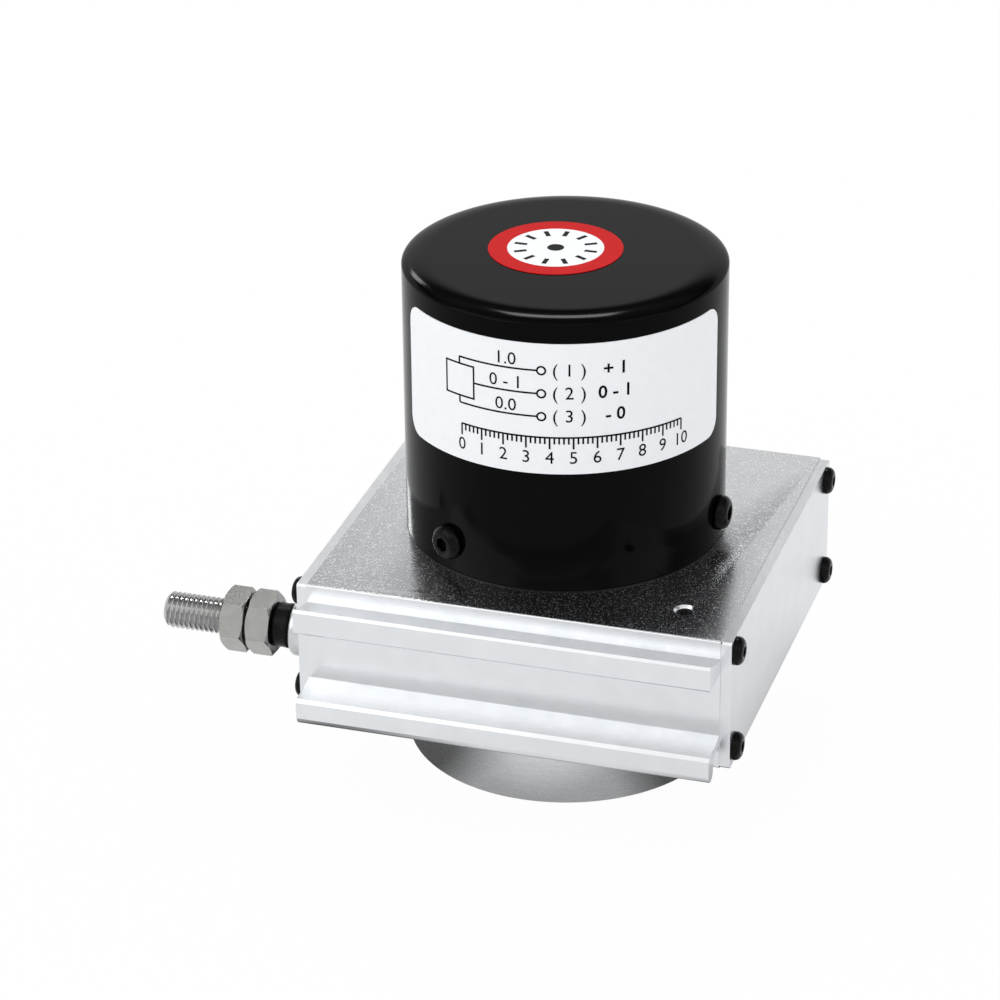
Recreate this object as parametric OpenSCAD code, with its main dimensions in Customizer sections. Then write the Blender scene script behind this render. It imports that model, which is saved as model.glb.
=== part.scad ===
// Draw wire encoder. A sprung cable drum turns in an extruded housing, a spring can hangs
// below it and a ten-turn sensor sits under the round cover. The wire leaves towards -X.
// Origin: centre of the spring can's bottom face, +Z along the drum axis. Millimetres.

/* [Wire] */
// Length of wire on one turn of the drum, which sets the drum and the housing around it
turn_len = 200; // [185:1:240]
// Turns of wire on the drum when the wire is fully wound
wire_turns = 10; // [6:1:12]
// Diameter of the coated steel wire
wire_d = 0.6; // [0.5:0.02:0.7]
// Free space between neighbouring turns
turn_space = 0.75; // [0.7:0.01:1.0]
// Clearance round the wire in grooves and guides
wire_gap = 0.15; // [0.1:0.01:0.25]

/* [Drum] */
// Height of the drum's two edge flanges above the wire's centre line
flange_rise = 1.0; // [0.6:0.1:1.3]
// Thickness of each edge flange
flange_t = 1.0; // [0.8:0.1:2]
// Depth of the groove lands below the wire's centre line
land_drop = 0.25; // [0.2:0.01:0.3]
// Radial thickness of the drum rim
rim_t = 3.0; // [2:0.1:5]
// Thickness of the drum web
web_t = 2.5; // [2:0.1:5]
// Radius of the drum hub
hub_r = 9.0; // [7:0.1:11]
// Radius of the lightening holes in the web
web_hole_r = 5.5; // [3:0.1:6.5]
// Number of lightening holes
web_holes = 6; // [4:1:7]
// Diameter of the drum shaft
shaft_d = 6.0; // [5:0.1:7]

/* [Housing] */
// Room between the wire's centre line and the inside of the front wall
drum_side_room = 5.17; // [5:0.01:9]
// Room between the wire's centre line and the open ends of the extrusion
drum_end_room = 8.17; // [7:0.01:15]
// Room above and below the drum
drum_gap_z = 1.875; // [1.3:0.005:5]
// Distance of the housing's middle from the drum axis, towards the right end
housing_shift = 1.05; // [0:0.05:3]
// Wall thickness of the extrusion
wall_t = 3.0; // [2.6:0.1:4]
// Distance of the screw ports from the front and back faces
port_edge_y = 3.5; // [3:0.1:4]
// Distance of the screw ports from the top and bottom faces
port_edge_z = 3.3; // [3:0.1:4]
// Radius of the rounded boss round each screw port
port_boss_r = 2.7; // [2.3:0.1:2.9]
// Radius of the housing's outer long edges
housing_edge_r = 0.4; // [0.2:0.05:1]
// Radius of the tapped hole in the top face
top_hole_r = 1.6; // [1:0.05:2.5]
// Chamfer at the mouth of the tapped hole
top_hole_edge = 0.5; // [0.1:0.05:0.6]
// Distance of the tapped hole from the right end
top_hole_from_end = 9.4; // [6:0.1:14]
// Distance of the tapped hole from the front face
top_hole_from_front = 10.1; // [7:0.1:14]

/* [Mounting rails] */
// How far both rails stand out from the front wall
rail_reach = 7.7; // [5:0.1:12]
// Width of the chamfered land along the edge of each rail
rail_land = 0.5; // [0.3:0.05:0.8]
// Outer edge of the upper rail below the housing top
upper_edge_drop = 1.5; // [0.8:0.1:2.5]
// Crease of the upper rail below the housing top
upper_crease_drop = 3.6; // [2.8:0.1:4.5]
// Underside of the upper rail below the housing top
upper_under_drop = 6.6; // [5.5:0.1:8]
// Crease of the lower rail above the housing bottom
lower_crease_h = 6.95; // [6.4:0.05:8]
// Outer edge of the lower rail above the housing bottom
lower_edge_h = 6.15; // [5.6:0.05:6.9]
// Underside of the lower rail's flange above the housing bottom
lower_under_h = 4.95; // [3.5:0.05:5.2]
// Thickness of the lower rail's hanging lip
lower_lip_t = 3.6; // [2.6:0.1:4.6]
// Gap between the lip's lower edge and the level of the housing bottom
lower_lip_gap = 0.5; // [0.2:0.05:1.5]

/* [End plates] */
// Thickness of the end plates
plate_t = 2.0; // [1.5:0.1:4]
// How far the end plates stay below the housing's top and inside its front and back
plate_inset = 0.25; // [0.1:0.05:0.5]
// Chamfer on the corners of the end plates
plate_chamfer = 0.4; // [0.3:0.1:1]
// Nominal diameter of the end plate screws
plate_screw_d = 3.0; // [2.5:0.1:3.4]
// Head diameter of the end plate screws
plate_head_d = 5.4; // [5:0.1:6.2]
// Head height of the end plate screws
plate_head_h = 1.65; // [1.2:0.05:2.2]
// Length of the end plate screws under the head
plate_screw_len = 10; // [6:0.5:16]

/* [Wire outlet] */
// How far the outlet sits below the middle of the housing
outlet_drop = 0.6; // [0:0.1:1]
// Outer diameter of the outlet nose
nose_d = 11.0; // [10:0.1:12.5]
// How far the nose stands out from the end plate
nose_len = 3.4; // [3:0.1:8]
// Diameter of the nose's shank through the end plate
nose_shank_d = 8.0; // [6:0.1:9]
// Length of the shank inside the housing
nose_inner_len = 2.4; // [1:0.1:4]
// Outer diameter of the ceramic guide bush in the nose
bush_d = 4.4; // [3:0.1:5]
// Radius of the nose's rounded outer edge
nose_edge_r = 0.9; // [0.4:0.1:1.5]

/* [Wire end] */
// Clearance between the outlet nose and the bumper when the wire is fully wound
rest_gap = 0.3; // [0.2:0.05:0.5]
// Outer diameter of the rubber bumper
bumper_d = 8.7; // [8.5:0.1:10]
// Length of the rubber bumper
bumper_len = 3.4; // [2.5:0.1:8]
// Thickness of the bumper's closed face
bumper_face_t = 0.6; // [0.4:0.05:1.2]
// Thread diameter of the stud
stud_d = 7.0; // [6:0.1:7.5]
// Length of the stud that stands free of the nuts
stud_free_len = 12.3; // [10:0.1:20]
// Chamfer at the tip of the stud
stud_chamfer = 0.7; // [0.4:0.05:1]
// Width across the flats of the two nuts
nut_af = 11.0; // [10.5:0.1:13]
// Thickness of each nut
nut_h = 4.7; // [4:0.1:7]
// Space between the two nuts
nut_gap = 0.5; // [0.3:0.05:2]
// Direction that one flat of each nut faces, above the front
nut_turn = 22; // [0:1:60]
// Diameter of the crimp ferrule inside the stud
ferrule_d = 2.9; // [2.2:0.1:3.4]
// Length of the crimp ferrule
ferrule_len = 10; // [6:0.5:16]

/* [Spring can] */
// Outer radius of the spring can
can_r = 31.0; // [28:0.1:33]
// Height of the spring can below the housing
can_h = 19.2; // [17:0.1:30]
// Thickness of the can's side wall
can_wall = 4.0; // [3.6:0.1:6]
// Thickness of the can's floor
can_floor = 1.5; // [1:0.1:3]
// Depth that the can's screws reach into its wall
can_screw_in = 8; // [5:0.5:10]
// Radius of the can's lower edge
can_edge_r = 1.2; // [0.4:0.1:1.4]
// Thickness of the mainspring strip
strip_t = 0.4; // [0.2:0.02:0.5]
// Coils of the mainspring
strip_coils = 9; // [5:1:12]
// Radius of the arbor that the mainspring hooks on
arbor_r = 7.0; // [5.5:0.1:9]

/* [Bearings] */
// Outer diameter of the ball bearings
bearing_od = 15.0; // [13:0.1:17]
// Width of the ball bearings
bearing_w = 5.0; // [4:0.1:6]
// Diameter of the bearing balls
ball_d = 2.5; // [2:0.05:2.8]
// Balls in each bearing
ball_count = 8; // [6:1:8]
// Wall round each bearing seat
seat_wall = 2.5; // [2:0.1:4]
// Shoulder that each bearing stops against
seat_shoulder = 1.5; // [1:0.1:2.5]
// Width of the lower seat's flange
seat_flange_w = 6; // [5:0.1:7]

/* [Cover] */
// Outer radius of the cover
cover_r = 30.7; // [29:0.1:34]
// Wall thickness of the cover
cover_wall = 1.8; // [1.2:0.1:2.2]
// Width of the cover's rounded top edge, seen from above
cover_edge_w = 5.2; // [2:0.1:8]
// Height of the cover's rounded top edge
cover_edge_h = 1.6; // [1:0.1:4]
// Radius of the corner inside the cover
cover_inner_r = 1.4; // [0.5:0.1:2]
// Free height between the terminal block and the cover
cover_headroom = 0.7; // [0.4:0.1:4]
// Height of the cover screws above the housing top
cover_screw_z = 6.1; // [5.6:0.1:7]
// Directions of the cover screws, from the front towards the right
cover_screw_angles = [-29, 88, 210];
// Nominal diameter of the cover screws
cover_screw_d = 4.0; // [3:0.1:4.4]
// Head diameter of the cover screws
cover_head_d = 6.8; // [6.4:0.1:8]
// Head height of the cover screws
cover_head_h = 2.1; // [1.6:0.1:3]

/* [Labels] */
// Height of the side label's lower edge above the housing top
label_z = 24.6; // [18:0.1:26]
// Height of the side label
label_h = 26.1; // [15:0.1:27]
// Direction of the side label's middle, from the front towards the right
label_mid = 15; // [0:1:40]
// Angle that the side label covers
label_span = 134; // [60:1:160]
// Thickness of both labels
label_t = 0.15; // [0.1:0.01:0.3]
// Radius of the round label on top
disc_r = 12.7; // [8:0.1:16]
// Place of the round label on the cover
disc_at = [-2.3, 1.5];

/* [Sensor carrier] */
// Thickness of the carrier disc on the housing
carrier_t = 3.5; // [3:0.1:6]
// Height of the carrier's rim, which the cover screws enter
carrier_rim_h = 10.0; // [9:0.1:14]
// Thickness of the carrier's rim
carrier_rim_t = 4.0; // [3:0.1:6]
// Thickness of the bare ring that shows below the cover
ring_t = 0.3; // [0.2:0.1:1.2]
// Length of the standoffs under the bracket
standoff_h = 18; // [17:0.5:26]
// Diameter of standoffs and spacers
standoff_d = 5.5; // [4.5:0.1:6.5]
// Thickness of the sensor bracket
bracket_t = 2.0; // [1.5:0.1:3]
// Nominal diameter of the small inner screws
small_screw_d = 3.0; // [2.5:0.1:3.2]
// Head height of the small inner screws
small_head_h = 1.65; // [1.2:0.05:2]
// Length that the bracket's screw stubs stand out on each side
bracket_screw_in = 4.5; // [3:0.1:6]
// Length of the board screws below the board
board_screw_in = 6; // [4:0.5:8]

/* [Sensor] */
// Radius of the ten-turn potentiometer
pot_r = 11.0; // [9:0.1:13]
// Height of the potentiometer
pot_h = 20.0; // [15:0.5:25]
// Diameter of the potentiometer's threaded bush
pot_bush_d = 9.5; // [8.5:0.1:10]
// Length of the potentiometer's threaded bush
pot_bush_len = 8.0; // [6:0.1:8.5]
// Diameter of the potentiometer's shaft
pot_shaft_d = 6.0; // [5:0.1:6.4]
// Outer diameter of the shaft coupling
coupling_d = 14.0; // [12:0.1:16]
// Length of the shaft coupling
coupling_len = 9.0; // [8:0.1:10]
// Thickness of the circuit board
board_t = 1.6; // [1:0.1:2]
// Gap between the potentiometer and the circuit board
board_gap = 1.5; // [1:0.1:4]
// Size of the terminal block
block_size = [14, 7.5, 6.5];
// Distance of the terminal block's back from the axis
block_at = 4; // [0:0.5:6]
// Depth of the terminal block's screw pockets and wire entries
block_pocket = 3; // [2:0.1:5]

/* [Cable gland] */
// Length of the gland's thread that stands inside the cover
gland_reach = 8; // [6:0.5:10]
// Height of the gland's axis above the housing top
gland_z = 22.0; // [19.5:0.1:30]
// Thread diameter of the gland
gland_d = 12.0; // [10:0.1:13]
// Width across the flats of the gland's hexagons
gland_af = 15.0; // [14:0.1:17]
// Cable passage through the gland
gland_bore_d = 6.4; // [4:0.1:7]
// Thickness of the gland's hexagon
gland_hex_h = 4.0; // [3:0.1:6]
// Length of the gland's dome nut
gland_dome_len = 8.5; // [6:0.1:14]

/* [Hidden] */

$fn = 64;
eps = 0.01;         // overlap that joins shapes of one solid
seat_gap = 0.02;    // parts pressed or laid together
thread_gap = 0.05;  // screws and nuts on their threads
run_gap = 0.05;     // shafts and balls in what they turn in
clear = 0.2;        // clearance holes

// Drum and winding
drum_r = turn_len / (2 * PI);
turn_pitch = wire_d + turn_space;
rim_h = (wire_turns + 1) * turn_pitch + 2 * flange_t;
land_r = drum_r - land_drop;
rim_inner_r = land_r - rim_t;
flange_r = drum_r + flange_rise;
shaft_r = shaft_d / 2;
web_ring_r = (hub_r + rim_inner_r) / 2;

// Housing
housing_w = 2 * (drum_r + drum_end_room);
housing_d = 2 * (drum_r + drum_side_room + wall_t);
housing_h = rim_h + 2 * (drum_gap_z + wall_t);
z_house = can_h;
z_floor = z_house + wall_t;
z_top = z_house + housing_h;
z_roof = z_top - wall_t;
z_mid = z_house + housing_h / 2;
front_y = -housing_d / 2;
left_in_x = housing_shift - housing_w / 2;
right_in_x = housing_shift + housing_w / 2;
left_x = left_in_x - plate_t;
right_x = right_in_x + plate_t;
port_y = housing_d / 2 - port_edge_y;
port_zs = [z_house + port_edge_z, z_top - port_edge_z];
outlet_y = -drum_r;
outlet_z = z_mid - outlet_drop;
drum_z0 = z_mid - rim_h / 2;
last_turn_z = z_mid + (wire_turns - 1) / 2 * turn_pitch;

// Wire end, measured towards -X
nose_tip_x = left_x - nose_len;
bumper_x = nose_tip_x - rest_gap;
bumper_end_x = bumper_x - bumper_len;
inner_nut_x = bumper_end_x - seat_gap;
outer_nut_x = inner_nut_x - nut_h - nut_gap;
stud_x = bumper_x - bumper_face_t - seat_gap;
stud_tip_x = outer_nut_x - nut_h - stud_free_len;
guide_x = left_in_x + nose_inner_len;
ferrule_x = stud_x - seat_gap;

// Bearings and shaft
bearing_r = bearing_od / 2;
ball_ring_r = (shaft_r + bearing_r) / 2;
race_wall = ball_ring_r - shaft_r - ball_d * 0.32;
shoulder_r = bearing_r - seat_shoulder;
seat_r = bearing_r + seat_wall;
lip_t = 0.8;
lower_bearing_z = z_floor + lip_t - seat_shoulder / 2 - bearing_w;
upper_bearing_z = z_roof;
clip_t = 0.8;
clip_r = shaft_r + 1.5;
clip_groove = 0.4;
hub_h = rim_h - 2 * flange_t;
hub_z = z_mid - hub_h / 2;

// Spring can
can_inner_r = can_r - can_wall;
seat_flange_r = seat_r + seat_flange_w;
seat_flange_z = lower_bearing_z;
seat_screw_ring_r = (seat_r + seat_flange_r) / 2;
seat_screw_d = 2.5;
seat_screw_at = 30;      // direction of the first of three seat screws
strip_z = can_floor + 1;
strip_h = seat_flange_z - small_head_h - 1 - strip_z;
can_screw_ring_r = can_r - can_wall / 2;
can_tap = can_screw_in + 1;

// Carrier stack under the cover
carrier_r = cover_r - cover_wall - 0.1;
carrier_inner_r = carrier_r - carrier_rim_t;
standoff_ring_r = carrier_inner_r - standoff_d / 2 - 1.5;
carrier_screw_ring_r = standoff_ring_r;
standoff_at = 30;        // direction of the first of three standoffs
carrier_screw_at = 90;   // direction of the first of three carrier screws
z_carrier = z_top + carrier_t;
z_bracket = z_carrier + standoff_h;
z_pot = z_bracket + bracket_t;
z_board = z_pot + pot_h + board_gap;
z_block = z_board + board_t;
z_cover_roof = z_block + block_size[2] + cover_headroom;
z_cover_top = z_cover_roof + cover_wall;
coupling_z = z_carrier + 1;
shaft_join_z = coupling_z + coupling_len / 2;
shaft_space = 0.5;       // between the two shafts in the coupling
board_r = standoff_ring_r + 4;
small_head_d = 5.5;
pot_pin_r = 0.4;
pot_pin_pitch = 5;
pot_pin_at = pot_r - 3;
standoff_tap = bracket_screw_in + 0.5;
set_screw_r = 1.5;
lower_clip_z = lower_bearing_z - clip_t - 3 * seat_gap;
upper_clip_z = upper_bearing_z + bearing_w + seat_gap;

// Cable gland
gland_seal_t = 1.0;
gland_thread_in = cover_wall + gland_reach;
gland_y = cover_r + gland_seal_t + 2 * seat_gap;

// A ring-shaped solid standing on z = 0
module tube(r_out, r_in, h) {
  difference() {
    cylinder(r = r_out, h = h);
    translate([0, 0, -1]) cylinder(r = r_in, h = h + 2);
  }
}

// Copies its children n times round the Z axis
module around(n, first = 0) {
  for (i = [0:n - 1]) rotate([0, 0, first + i * 360 / n]) children();
}

// Turns +Z of its children to -X, +X or a radial direction
module to_left() { rotate([0, -90, 0]) children(); }
module to_right() { rotate([0, 90, 0]) children(); }
module to_radial(angle) { rotate([0, 0, angle - 90]) rotate([0, 90, 0]) children(); }

// Screw with a domed head: head above z = 0, shank below, six-sided socket
module button_screw(d, head_d, head_h, len) {
  steps = 6;
  flat_r = head_d * 0.26;
  dome = [for (i = [0:steps]) let (a = 90 * i / steps)
    [flat_r + (head_d / 2 - flat_r) * sin(a), head_h * (0.2 + 0.8 * cos(a))]];
  difference() {
    rotate_extrude() polygon(concat([[0, 0], [0, head_h]], dome, [[head_d / 2, 0]]));
    translate([0, 0, head_h * 0.4]) cylinder(r = d * 0.36, h = head_h, $fn = 6);
  }
  translate([0, 0, -len]) cylinder(r = d / 2, h = len + eps);
}

// Countersunk screw: flat head top at z = 0
module flat_screw(d, len) {
  cylinder(r = d, h = eps);
  translate([0, 0, -d / 2]) cylinder(r1 = d / 2, r2 = d, h = d / 2);
  translate([0, 0, -len]) cylinder(r = d / 2, h = len - d / 2 + eps);
}

// Hexagon nut standing on z = 0, chamfered on both faces
module hex_nut(af, h, bore_r) {
  corner_r = af / 2 / cos(30);
  chamfer = (corner_r - af / 2) * 0.62;
  difference() {
    intersection() {
      cylinder(r = corner_r, h = h, $fn = 6);
      rotate_extrude() polygon([
        [0, 0], [af / 2, 0], [corner_r + eps, chamfer],
        [corner_r + eps, h - chamfer], [af / 2, h], [0, h]]);
    }
    translate([0, 0, -1]) cylinder(r = bore_r, h = h + 2);
  }
}

// Upper rail: its top sweeps up to the edge, its underside is flat
module upper_rail() {
  crease = z_top - upper_crease_drop;
  edge = z_top - upper_edge_drop;
  under = z_top - upper_under_drop;
  outer = front_y - rail_reach;
  steps = 6;
  sweep = [for (i = [0:steps]) let (s = i / steps)
    [front_y - s * (rail_reach - rail_land), crease + (edge - crease) * pow(s, 1.5)]];
  polygon(concat(
    [[front_y + wall_t / 2, under], [front_y + wall_t / 2, crease]],
    sweep,
    [[outer, edge - rail_land], [outer, under + rail_land], [outer + rail_land, under]]));
}

// Lower rail: a hook, with a lip that hangs from a thin flange
module lower_rail() {
  crease = z_house + lower_crease_h;
  edge = z_house + lower_edge_h;
  under = z_house + lower_under_h;
  bottom = z_house + lower_lip_gap;
  outer = front_y - rail_reach;
  steps = 6;
  lip_r = lower_lip_t / 2 - 0.2;
  sweep = [for (i = [0:steps]) let (s = i / steps)
    [front_y - s * (rail_reach - rail_land), crease + (edge - crease) * (1 - pow(1 - s, 2))]];
  foot = [for (i = [0:steps]) let (a = 180 + 180 * i / steps)
    [outer + lower_lip_t / 2 + lip_r * cos(a), bottom + lip_r + lip_r * sin(a)]];
  polygon(concat(
    [[front_y + wall_t / 2, under], [front_y + wall_t / 2, crease]],
    sweep,
    [[outer, edge - 1.5 * rail_land], [outer, bottom + lip_r]],
    foot,
    [[outer + lower_lip_t, bottom + 2 * lip_r], [outer + lower_lip_t + 0.4, under]]));
}

// Outline with its four corners rounded
module rounded_box_2d(w, h, r) {
  union() {
    square([w - 2 * r, h], center = true);
    square([w, h - 2 * r], center = true);
    for (sx = [-1, 1], sy = [-1, 1]) translate([sx * (w / 2 - r), sy * (h / 2 - r)]) circle(r);
  }
}

// Cross-section of the extrusion: y to the right, z up
module housing_section() {
  difference() {
    union() {
      difference() {
        translate([0, z_mid]) rounded_box_2d(housing_d, housing_h, housing_edge_r);
        translate([0, z_mid])
          square([housing_d - 2 * wall_t, housing_h - 2 * wall_t], center = true);
      }
      for (y = [-port_y, port_y], z = port_zs) translate([y, z]) circle(port_boss_r);
      upper_rail();
      lower_rail();
    }
    for (y = [-port_y, port_y], z = port_zs) {
      translate([y, z]) circle(plate_screw_d / 2 + thread_gap);
    }
  }
}

module housing() {
  color("gainsboro") difference() {
    translate([left_in_x, 0, 0]) rotate([90, 0, 90]) linear_extrude(height = housing_w)
      housing_section();
    translate([0, 0, z_house - 1]) cylinder(r = seat_r + thread_gap, h = wall_t + 2);
    translate([0, 0, z_roof - 1]) cylinder(r = seat_r + thread_gap, h = wall_t + 2);
    around(4, 45) translate([can_screw_ring_r, 0, z_floor]) {
      translate([0, 0, -wall_t - 1])
        cylinder(r = plate_screw_d / 2 + thread_gap, h = wall_t + 2);
      translate([0, 0, -plate_screw_d / 2 - thread_gap])
        cylinder(r1 = plate_screw_d / 2 + thread_gap, r2 = plate_screw_d + 2 * thread_gap,
          h = plate_screw_d / 2 + 2 * thread_gap);
    }
    around(3, carrier_screw_at) translate([carrier_screw_ring_r, 0, z_roof - 1])
      cylinder(r = small_screw_d / 2 + thread_gap, h = wall_t + 2);
    around(3, seat_screw_at) translate([seat_screw_ring_r, 0, z_house - 1])
      cylinder(r = seat_screw_d / 2 + thread_gap, h = wall_t + 2);
    translate([right_in_x - top_hole_from_end, front_y + top_hole_from_front, z_top]) {
      translate([0, 0, -wall_t - 1]) cylinder(r = top_hole_r, h = wall_t + 2);
      translate([0, 0, -top_hole_edge])
        cylinder(r1 = top_hole_r, r2 = top_hole_r + 2 * top_hole_edge, h = 2 * top_hole_edge);
    }
  }
}

// End plate with chamfered corners, drawn with its inner face on x = 0, growing to +X
module end_plate() {
  w = housing_d - 2 * plate_inset;
  h = housing_h - plate_inset;
  c = plate_chamfer;
  face = [[-w / 2 + c, -h / 2], [w / 2 - c, -h / 2], [w / 2, -h / 2 + c], [w / 2, h / 2 - c],
    [w / 2 - c, h / 2], [-w / 2 + c, h / 2], [-w / 2, h / 2 - c], [-w / 2, -h / 2 + c]];
  difference() {
    translate([0, 0, z_mid - plate_inset / 2]) rotate([90, 0, 90])
      linear_extrude(height = plate_t) polygon(face);
    for (y = [-port_y, port_y], z = port_zs) {
      translate([-1, y, z]) to_right() cylinder(r = plate_screw_d / 2 + clear, h = plate_t + 2);
    }
  }
}

module left_end_plate() {
  color("whitesmoke") difference() {
    translate([left_x, 0, 0]) end_plate();
    translate([left_x - 1, outlet_y, outlet_z]) to_right()
      cylinder(r = nose_shank_d / 2 + thread_gap, h = plate_t + 2);
  }
}

module right_end_plate() {
  color("whitesmoke") translate([right_in_x, 0, 0]) end_plate();
}

module plate_screw_set() {
  for (y = [-port_y, port_y], z = port_zs) {
    translate([0, y, z]) to_right()
      button_screw(plate_screw_d, plate_head_d, plate_head_h, plate_screw_len);
  }
}

module left_plate_screws() {
  color("black") mirror([1, 0, 0])
    translate([seat_gap - left_x, 0, 0]) plate_screw_set();
}

module right_plate_screws() {
  color("black") translate([right_x + seat_gap, 0, 0]) plate_screw_set();
}

// Nose that the wire leaves through, with its shank pressed into the left end plate
module wire_outlet() {
  bush_r = bush_d / 2 + seat_gap;
  steps = 4;
  edge = [for (i = [0:steps]) let (a = 90 * i / steps)
    [nose_d / 2 - nose_edge_r + nose_edge_r * cos(a), nose_len - nose_edge_r + nose_edge_r * sin(a)]];
  back = -plate_t - nose_inner_len;
  color("silver") translate([left_x - seat_gap, outlet_y, outlet_z]) to_left() rotate_extrude()
    polygon(concat(
      [[bush_r, back], [nose_shank_d / 2, back], [nose_shank_d / 2, 0], [nose_d / 2, 0]],
      edge,
      [[bush_r, nose_len]]));
}

// Ceramic bush with a flared mouth on the drum side
module guide_bush() {
  len = nose_len + plate_t + nose_inner_len;
  r_in = wire_d / 2 + wire_gap;
  r_out = bush_d / 2;
  flare = (r_out - r_in) * 0.6;
  color("ivory") translate([guide_x - seat_gap, outlet_y, outlet_z]) to_left() rotate_extrude()
    polygon([[r_in + flare, 0], [r_out, 0], [r_out, len], [r_in, len], [r_in, 1.6 * flare]]);
}

module spring_can() {
  steps = 4;
  edge = [for (i = [0:steps]) let (a = -90 + 90 * i / steps)
    [can_r - can_edge_r + can_edge_r * cos(a), can_edge_r + can_edge_r * sin(a)]];
  color("darkgray") difference() {
    rotate_extrude() polygon(concat(
      [[0, 0]], edge,
      [[can_r, can_h], [can_inner_r, can_h], [can_inner_r, can_floor], [0, can_floor]]));
    around(4, 45) translate([can_screw_ring_r, 0, can_h - can_tap])
      cylinder(r = plate_screw_d / 2 + thread_gap, h = can_tap + 1);
  }
}

module can_screws() {
  color("dimgray") around(4, 45) translate([can_screw_ring_r, 0, z_floor])
    flat_screw(plate_screw_d, wall_t + can_screw_in);
}

// Spiral strip, wound tighter towards the can wall
module mainspring() {
  r_in = arbor_r + 0.3 + strip_t / 2;
  r_out = can_inner_r - 0.3 - strip_t / 2;
  n = strip_coils * 24;
  function coil(i, side) = let (s = i / n, a = 360 * strip_coils * s,
    r = r_in + (r_out - r_in) * pow(s, 0.6) + side * strip_t / 2) [r * cos(a), r * sin(a)];
  color("steelblue") translate([0, 0, strip_z]) linear_extrude(height = strip_h)
    polygon(concat([for (i = [0:n]) coil(i, 1)], [for (i = [n:-1:0]) coil(i, -1)]));
}

// Flanged cup in the housing floor that holds the lower bearing from above
module lower_bearing_seat() {
  cup_h = z_floor + lip_t - seat_flange_z;
  color("silver") translate([0, 0, seat_flange_z]) difference() {
    union() {
      cylinder(r = seat_flange_r, h = z_house - seat_flange_z);
      cylinder(r = seat_r, h = cup_h);
    }
    translate([0, 0, -1]) cylinder(r = bearing_r + seat_gap, h = bearing_w + seat_gap + 1);
    cylinder(r = shoulder_r, h = cup_h + 1);
    around(3, seat_screw_at) translate([seat_screw_ring_r, 0, -1])
      cylinder(r = seat_screw_d / 2 + clear, h = cup_h + 2);
  }
}

module seat_screws() {
  color("dimgray") around(3, seat_screw_at)
    translate([seat_screw_ring_r, 0, seat_flange_z - seat_gap])
    mirror([0, 0, 1])
      button_screw(seat_screw_d, 1.8 * seat_screw_d, small_head_h, z_floor - seat_flange_z - 0.5);
}

// Outer ring and balls of one bearing, standing on z = 0
module bearing_outer() {
  rotate_extrude() difference() {
    translate([bearing_r - race_wall, 0]) square([race_wall, bearing_w]);
    translate([ball_ring_r, bearing_w / 2]) circle(ball_d / 2 + run_gap);
  }
  around(ball_count) translate([ball_ring_r, 0, bearing_w / 2]) sphere(ball_d / 2, $fn = 32);
}

// Inner ring of one bearing, standing on z = 0
module bearing_inner() {
  rotate_extrude() difference() {
    translate([shaft_r + seat_gap, 0]) square([race_wall - seat_gap, bearing_w]);
    translate([ball_ring_r, bearing_w / 2]) circle(ball_d / 2 + 1.6 * run_gap);
  }
}

module lower_bearing() {
  color("lightsteelblue") translate([0, 0, lower_bearing_z]) bearing_outer();
}

module upper_bearing() {
  color("lightsteelblue") translate([0, 0, upper_bearing_z]) bearing_outer();
}

module bearing_races() {
  color("slategray") {
    translate([0, 0, lower_bearing_z]) bearing_inner();
    translate([0, 0, upper_bearing_z]) bearing_inner();
  }
}

// Disc on the housing that carries the upper bearing, the sensor and the cover
module sensor_carrier() {
  seat_top = upper_bearing_z + bearing_w + seat_gap;
  color([0.08, 0.08, 0.08]) difference() {
    union() {
      translate([0, 0, z_roof]) cylinder(r = seat_r, h = wall_t + eps);
      translate([0, 0, z_top]) cylinder(r = cover_r, h = ring_t);
      translate([0, 0, z_top]) cylinder(r = carrier_r, h = carrier_rim_h);
    }
    translate([0, 0, z_carrier]) cylinder(r = carrier_inner_r, h = carrier_rim_h);
    translate([0, 0, z_roof - 1]) cylinder(r = bearing_r + seat_gap, h = seat_top - z_roof + 1);
    translate([0, 0, z_roof]) cylinder(r = shoulder_r, h = housing_h);
    around(3, carrier_screw_at) translate([carrier_screw_ring_r, 0, z_top - 1])
      cylinder(r = small_screw_d / 2 + clear, h = carrier_t + 2);
    around(3, standoff_at) translate([standoff_ring_r, 0, z_top + ring_t])
      cylinder(r = small_screw_d / 2 + thread_gap, h = carrier_t);
    for (a = cover_screw_angles) translate([0, 0, z_top + cover_screw_z]) to_radial(a)
      translate([0, 0, carrier_inner_r - 1])
        cylinder(r = cover_screw_d / 2 + thread_gap, h = carrier_rim_t + 3);
  }
}

module carrier_screws() {
  color("dimgray") around(3, carrier_screw_at)
    translate([carrier_screw_ring_r, 0, z_carrier + seat_gap])
    button_screw(small_screw_d, small_head_d, small_head_h, carrier_t + wall_t - 0.5);
}

// Six-sided spacer with a threaded stub below and a tapped top
module standoff(len, stub) {
  difference() {
    union() {
      cylinder(r = standoff_d / 2, h = len, $fn = 6);
      translate([0, 0, -stub]) cylinder(r = small_screw_d / 2, h = stub + eps);
    }
    translate([0, 0, len - standoff_tap])
      cylinder(r = small_screw_d / 2 + thread_gap, h = standoff_tap + 1);
  }
}

module standoffs() {
  color("goldenrod") around(3, standoff_at)
    translate([standoff_ring_r, 0, z_carrier + seat_gap])
      standoff(standoff_h - 2 * seat_gap, carrier_t - ring_t - 0.3);
}

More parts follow.
